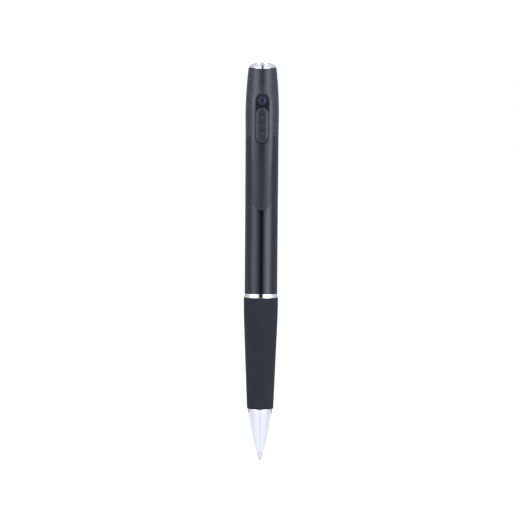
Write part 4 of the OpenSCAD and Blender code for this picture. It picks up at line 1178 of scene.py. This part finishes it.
# %% [markdown]
# ## Lens
#
# Behind the slot's floor sits the lens in its anodised barrel. The barrel is a turned ring with a bevelled
# front, and the front lens is a small dome. Its colours are painted light: painted shade of the dark inside,
# nearly black in the middle where the pupil lies, and painted reflections of the coating, blue to violet
# further out. Clear glass with more lenses behind it would need many bounces of light for a few pixels, so the
# dome is opaque and its colour follows the distance from its axis.

# %% Finishes of the lens
LENS_R = 1.3
LENS_ROUGH, LENS_SHEEN = 0.05, 0.3
# Colours of the opaque dome: painted shade for the pupil, painted reflections of the coating further out.
PUPIL_SHADE, COATING_REFLECTION, VIOLET_REFLECTION = (0.002, 0.003, 0.008, 1), (0.012, 0.022, 0.075, 1), (0.05, 0.04, 0.12, 1)
LENS_STOPS = ((0.25, PUPIL_SHADE), (0.6, COATING_REFLECTION), (1.0, VIOLET_REFLECTION))
LENS_LINES = (1, 0.02, 1)


def radial_share(wire, radius_mm):
    """Distance from the lens's own axis, as a share of this radius."""
    lens_place = {0: place(wire), 1: (0, 0, z_lens * MM)}
    centred = wire.make("ShaderNodeVectorMath", {"operation": "SUBTRACT"}, lens_place)
    flat = wire.make("ShaderNodeVectorMath", {"operation": "MULTIPLY"}, {0: centred, 1: (1, 0, 1)})
    length = wire.make("ShaderNodeVectorMath", {"operation": "LENGTH"}, {0: flat}, "Value")
    return length * (1 / (radius_mm * MM))


def lens_finish():
    """Opaque glass: painted shade as a black pupil, painted reflection as blue ring and violet edge; hard gloss.
    """
    shader, wire = new_finish("lens_glass", (0.01, 0.015, 0.05), LENS_ROUGH, specular_ior_level=LENS_SHEEN)
    ramp = wire.make("ShaderNodeValToRGB", None, {"Fac": radial_share(wire, LENS_R)})
    stops = ramp.socket.node.color_ramp.elements
    stops.new(LENS_STOPS[1][0])
    for stop, (position, color) in zip(stops, LENS_STOPS):
        stop.position = position
        stop.color = color
    feed(shader, "Base Color", ramp)


lens_finish()
metal("lens_mount", (0.085, 0.10, 0.12), 0.36, 0.05, LENS_LINES, 0.003)
print("finishes in all:", len(finishes))

# %% Lens and its barrel
LENS_T, LENS_FACE_R, LENS_ROWS = 0.9, 2.6, 20
MOUNT_R, LENS_CELL_R, LIGHT_PATH_R = 1.85, 1.32, 0.9
MOUNT_CHAMFER, MOUNT_EDGE = 0.2, 0.06
mount_low, mount_high = box_mm("lens_barrel")
lens_front, mount_back = -mount_low[1], -mount_high[1]
lens_back = lens_front - LENS_T


def facing_front(shape):
    """Turns a lathe's axis to the front: its height becomes the distance in front of the pen's axis."""
    points, faces = shape
    return join(points[:, 0], -points[:, 2], points[:, 1] + z_lens), faces


mount_profile = rounded(
    [
        (LIGHT_PATH_R, mount_back), (MOUNT_R, mount_back), (MOUNT_R, lens_front - MOUNT_CHAMFER),
        (MOUNT_R - MOUNT_CHAMFER, lens_front), (LENS_CELL_R, lens_front), (LENS_CELL_R, lens_back),
        (LIGHT_PATH_R, lens_back),
    ],
    [0, 0, MOUNT_EDGE, MOUNT_EDGE, MOUNT_EDGE, 0, 0],
)
mount_shape = facing_front(lathe(mount_profile, around=SMALL_AROUND))
add_piece("lens_mount_ring", mount_shape, "upper", "lens_barrel", "lens_mount")
lens_r = np.linspace(0, LENS_R, LENS_ROWS)
lens_face = join(lens_r, lens_front - arc_fall(lens_r, LENS_FACE_R))
lens_profile = np.concatenate([lens_face, [(LENS_R, lens_back), (0, lens_back)]])
lens_shape = facing_front(lathe(lens_profile, False, SMALL_AROUND))
add_piece("lens_dome", lens_shape, "upper", "front_lens", "lens_glass")

# %% [markdown]
# ## Inner pieces
#
# The plug, the charging socket, the boards, the cell and the twist mechanism keep their CAD shape, which is
# already right. They show when the lower half is pulled off or the case is opened, so each gets its own
# finish too, by the slot that the record names for it.

# %% Finishes of the inner pieces
for part in frame["record"]["subparts"]:
    node = frame["nodes"][part["node"]]
    if not node.hide_render:
        node.data.materials.clear()
        node.data.materials.append(finishes[part["material_slot"]])
print("CAD pieces shown:", sum(not node.hide_render for node in frame["nodes"].values()))
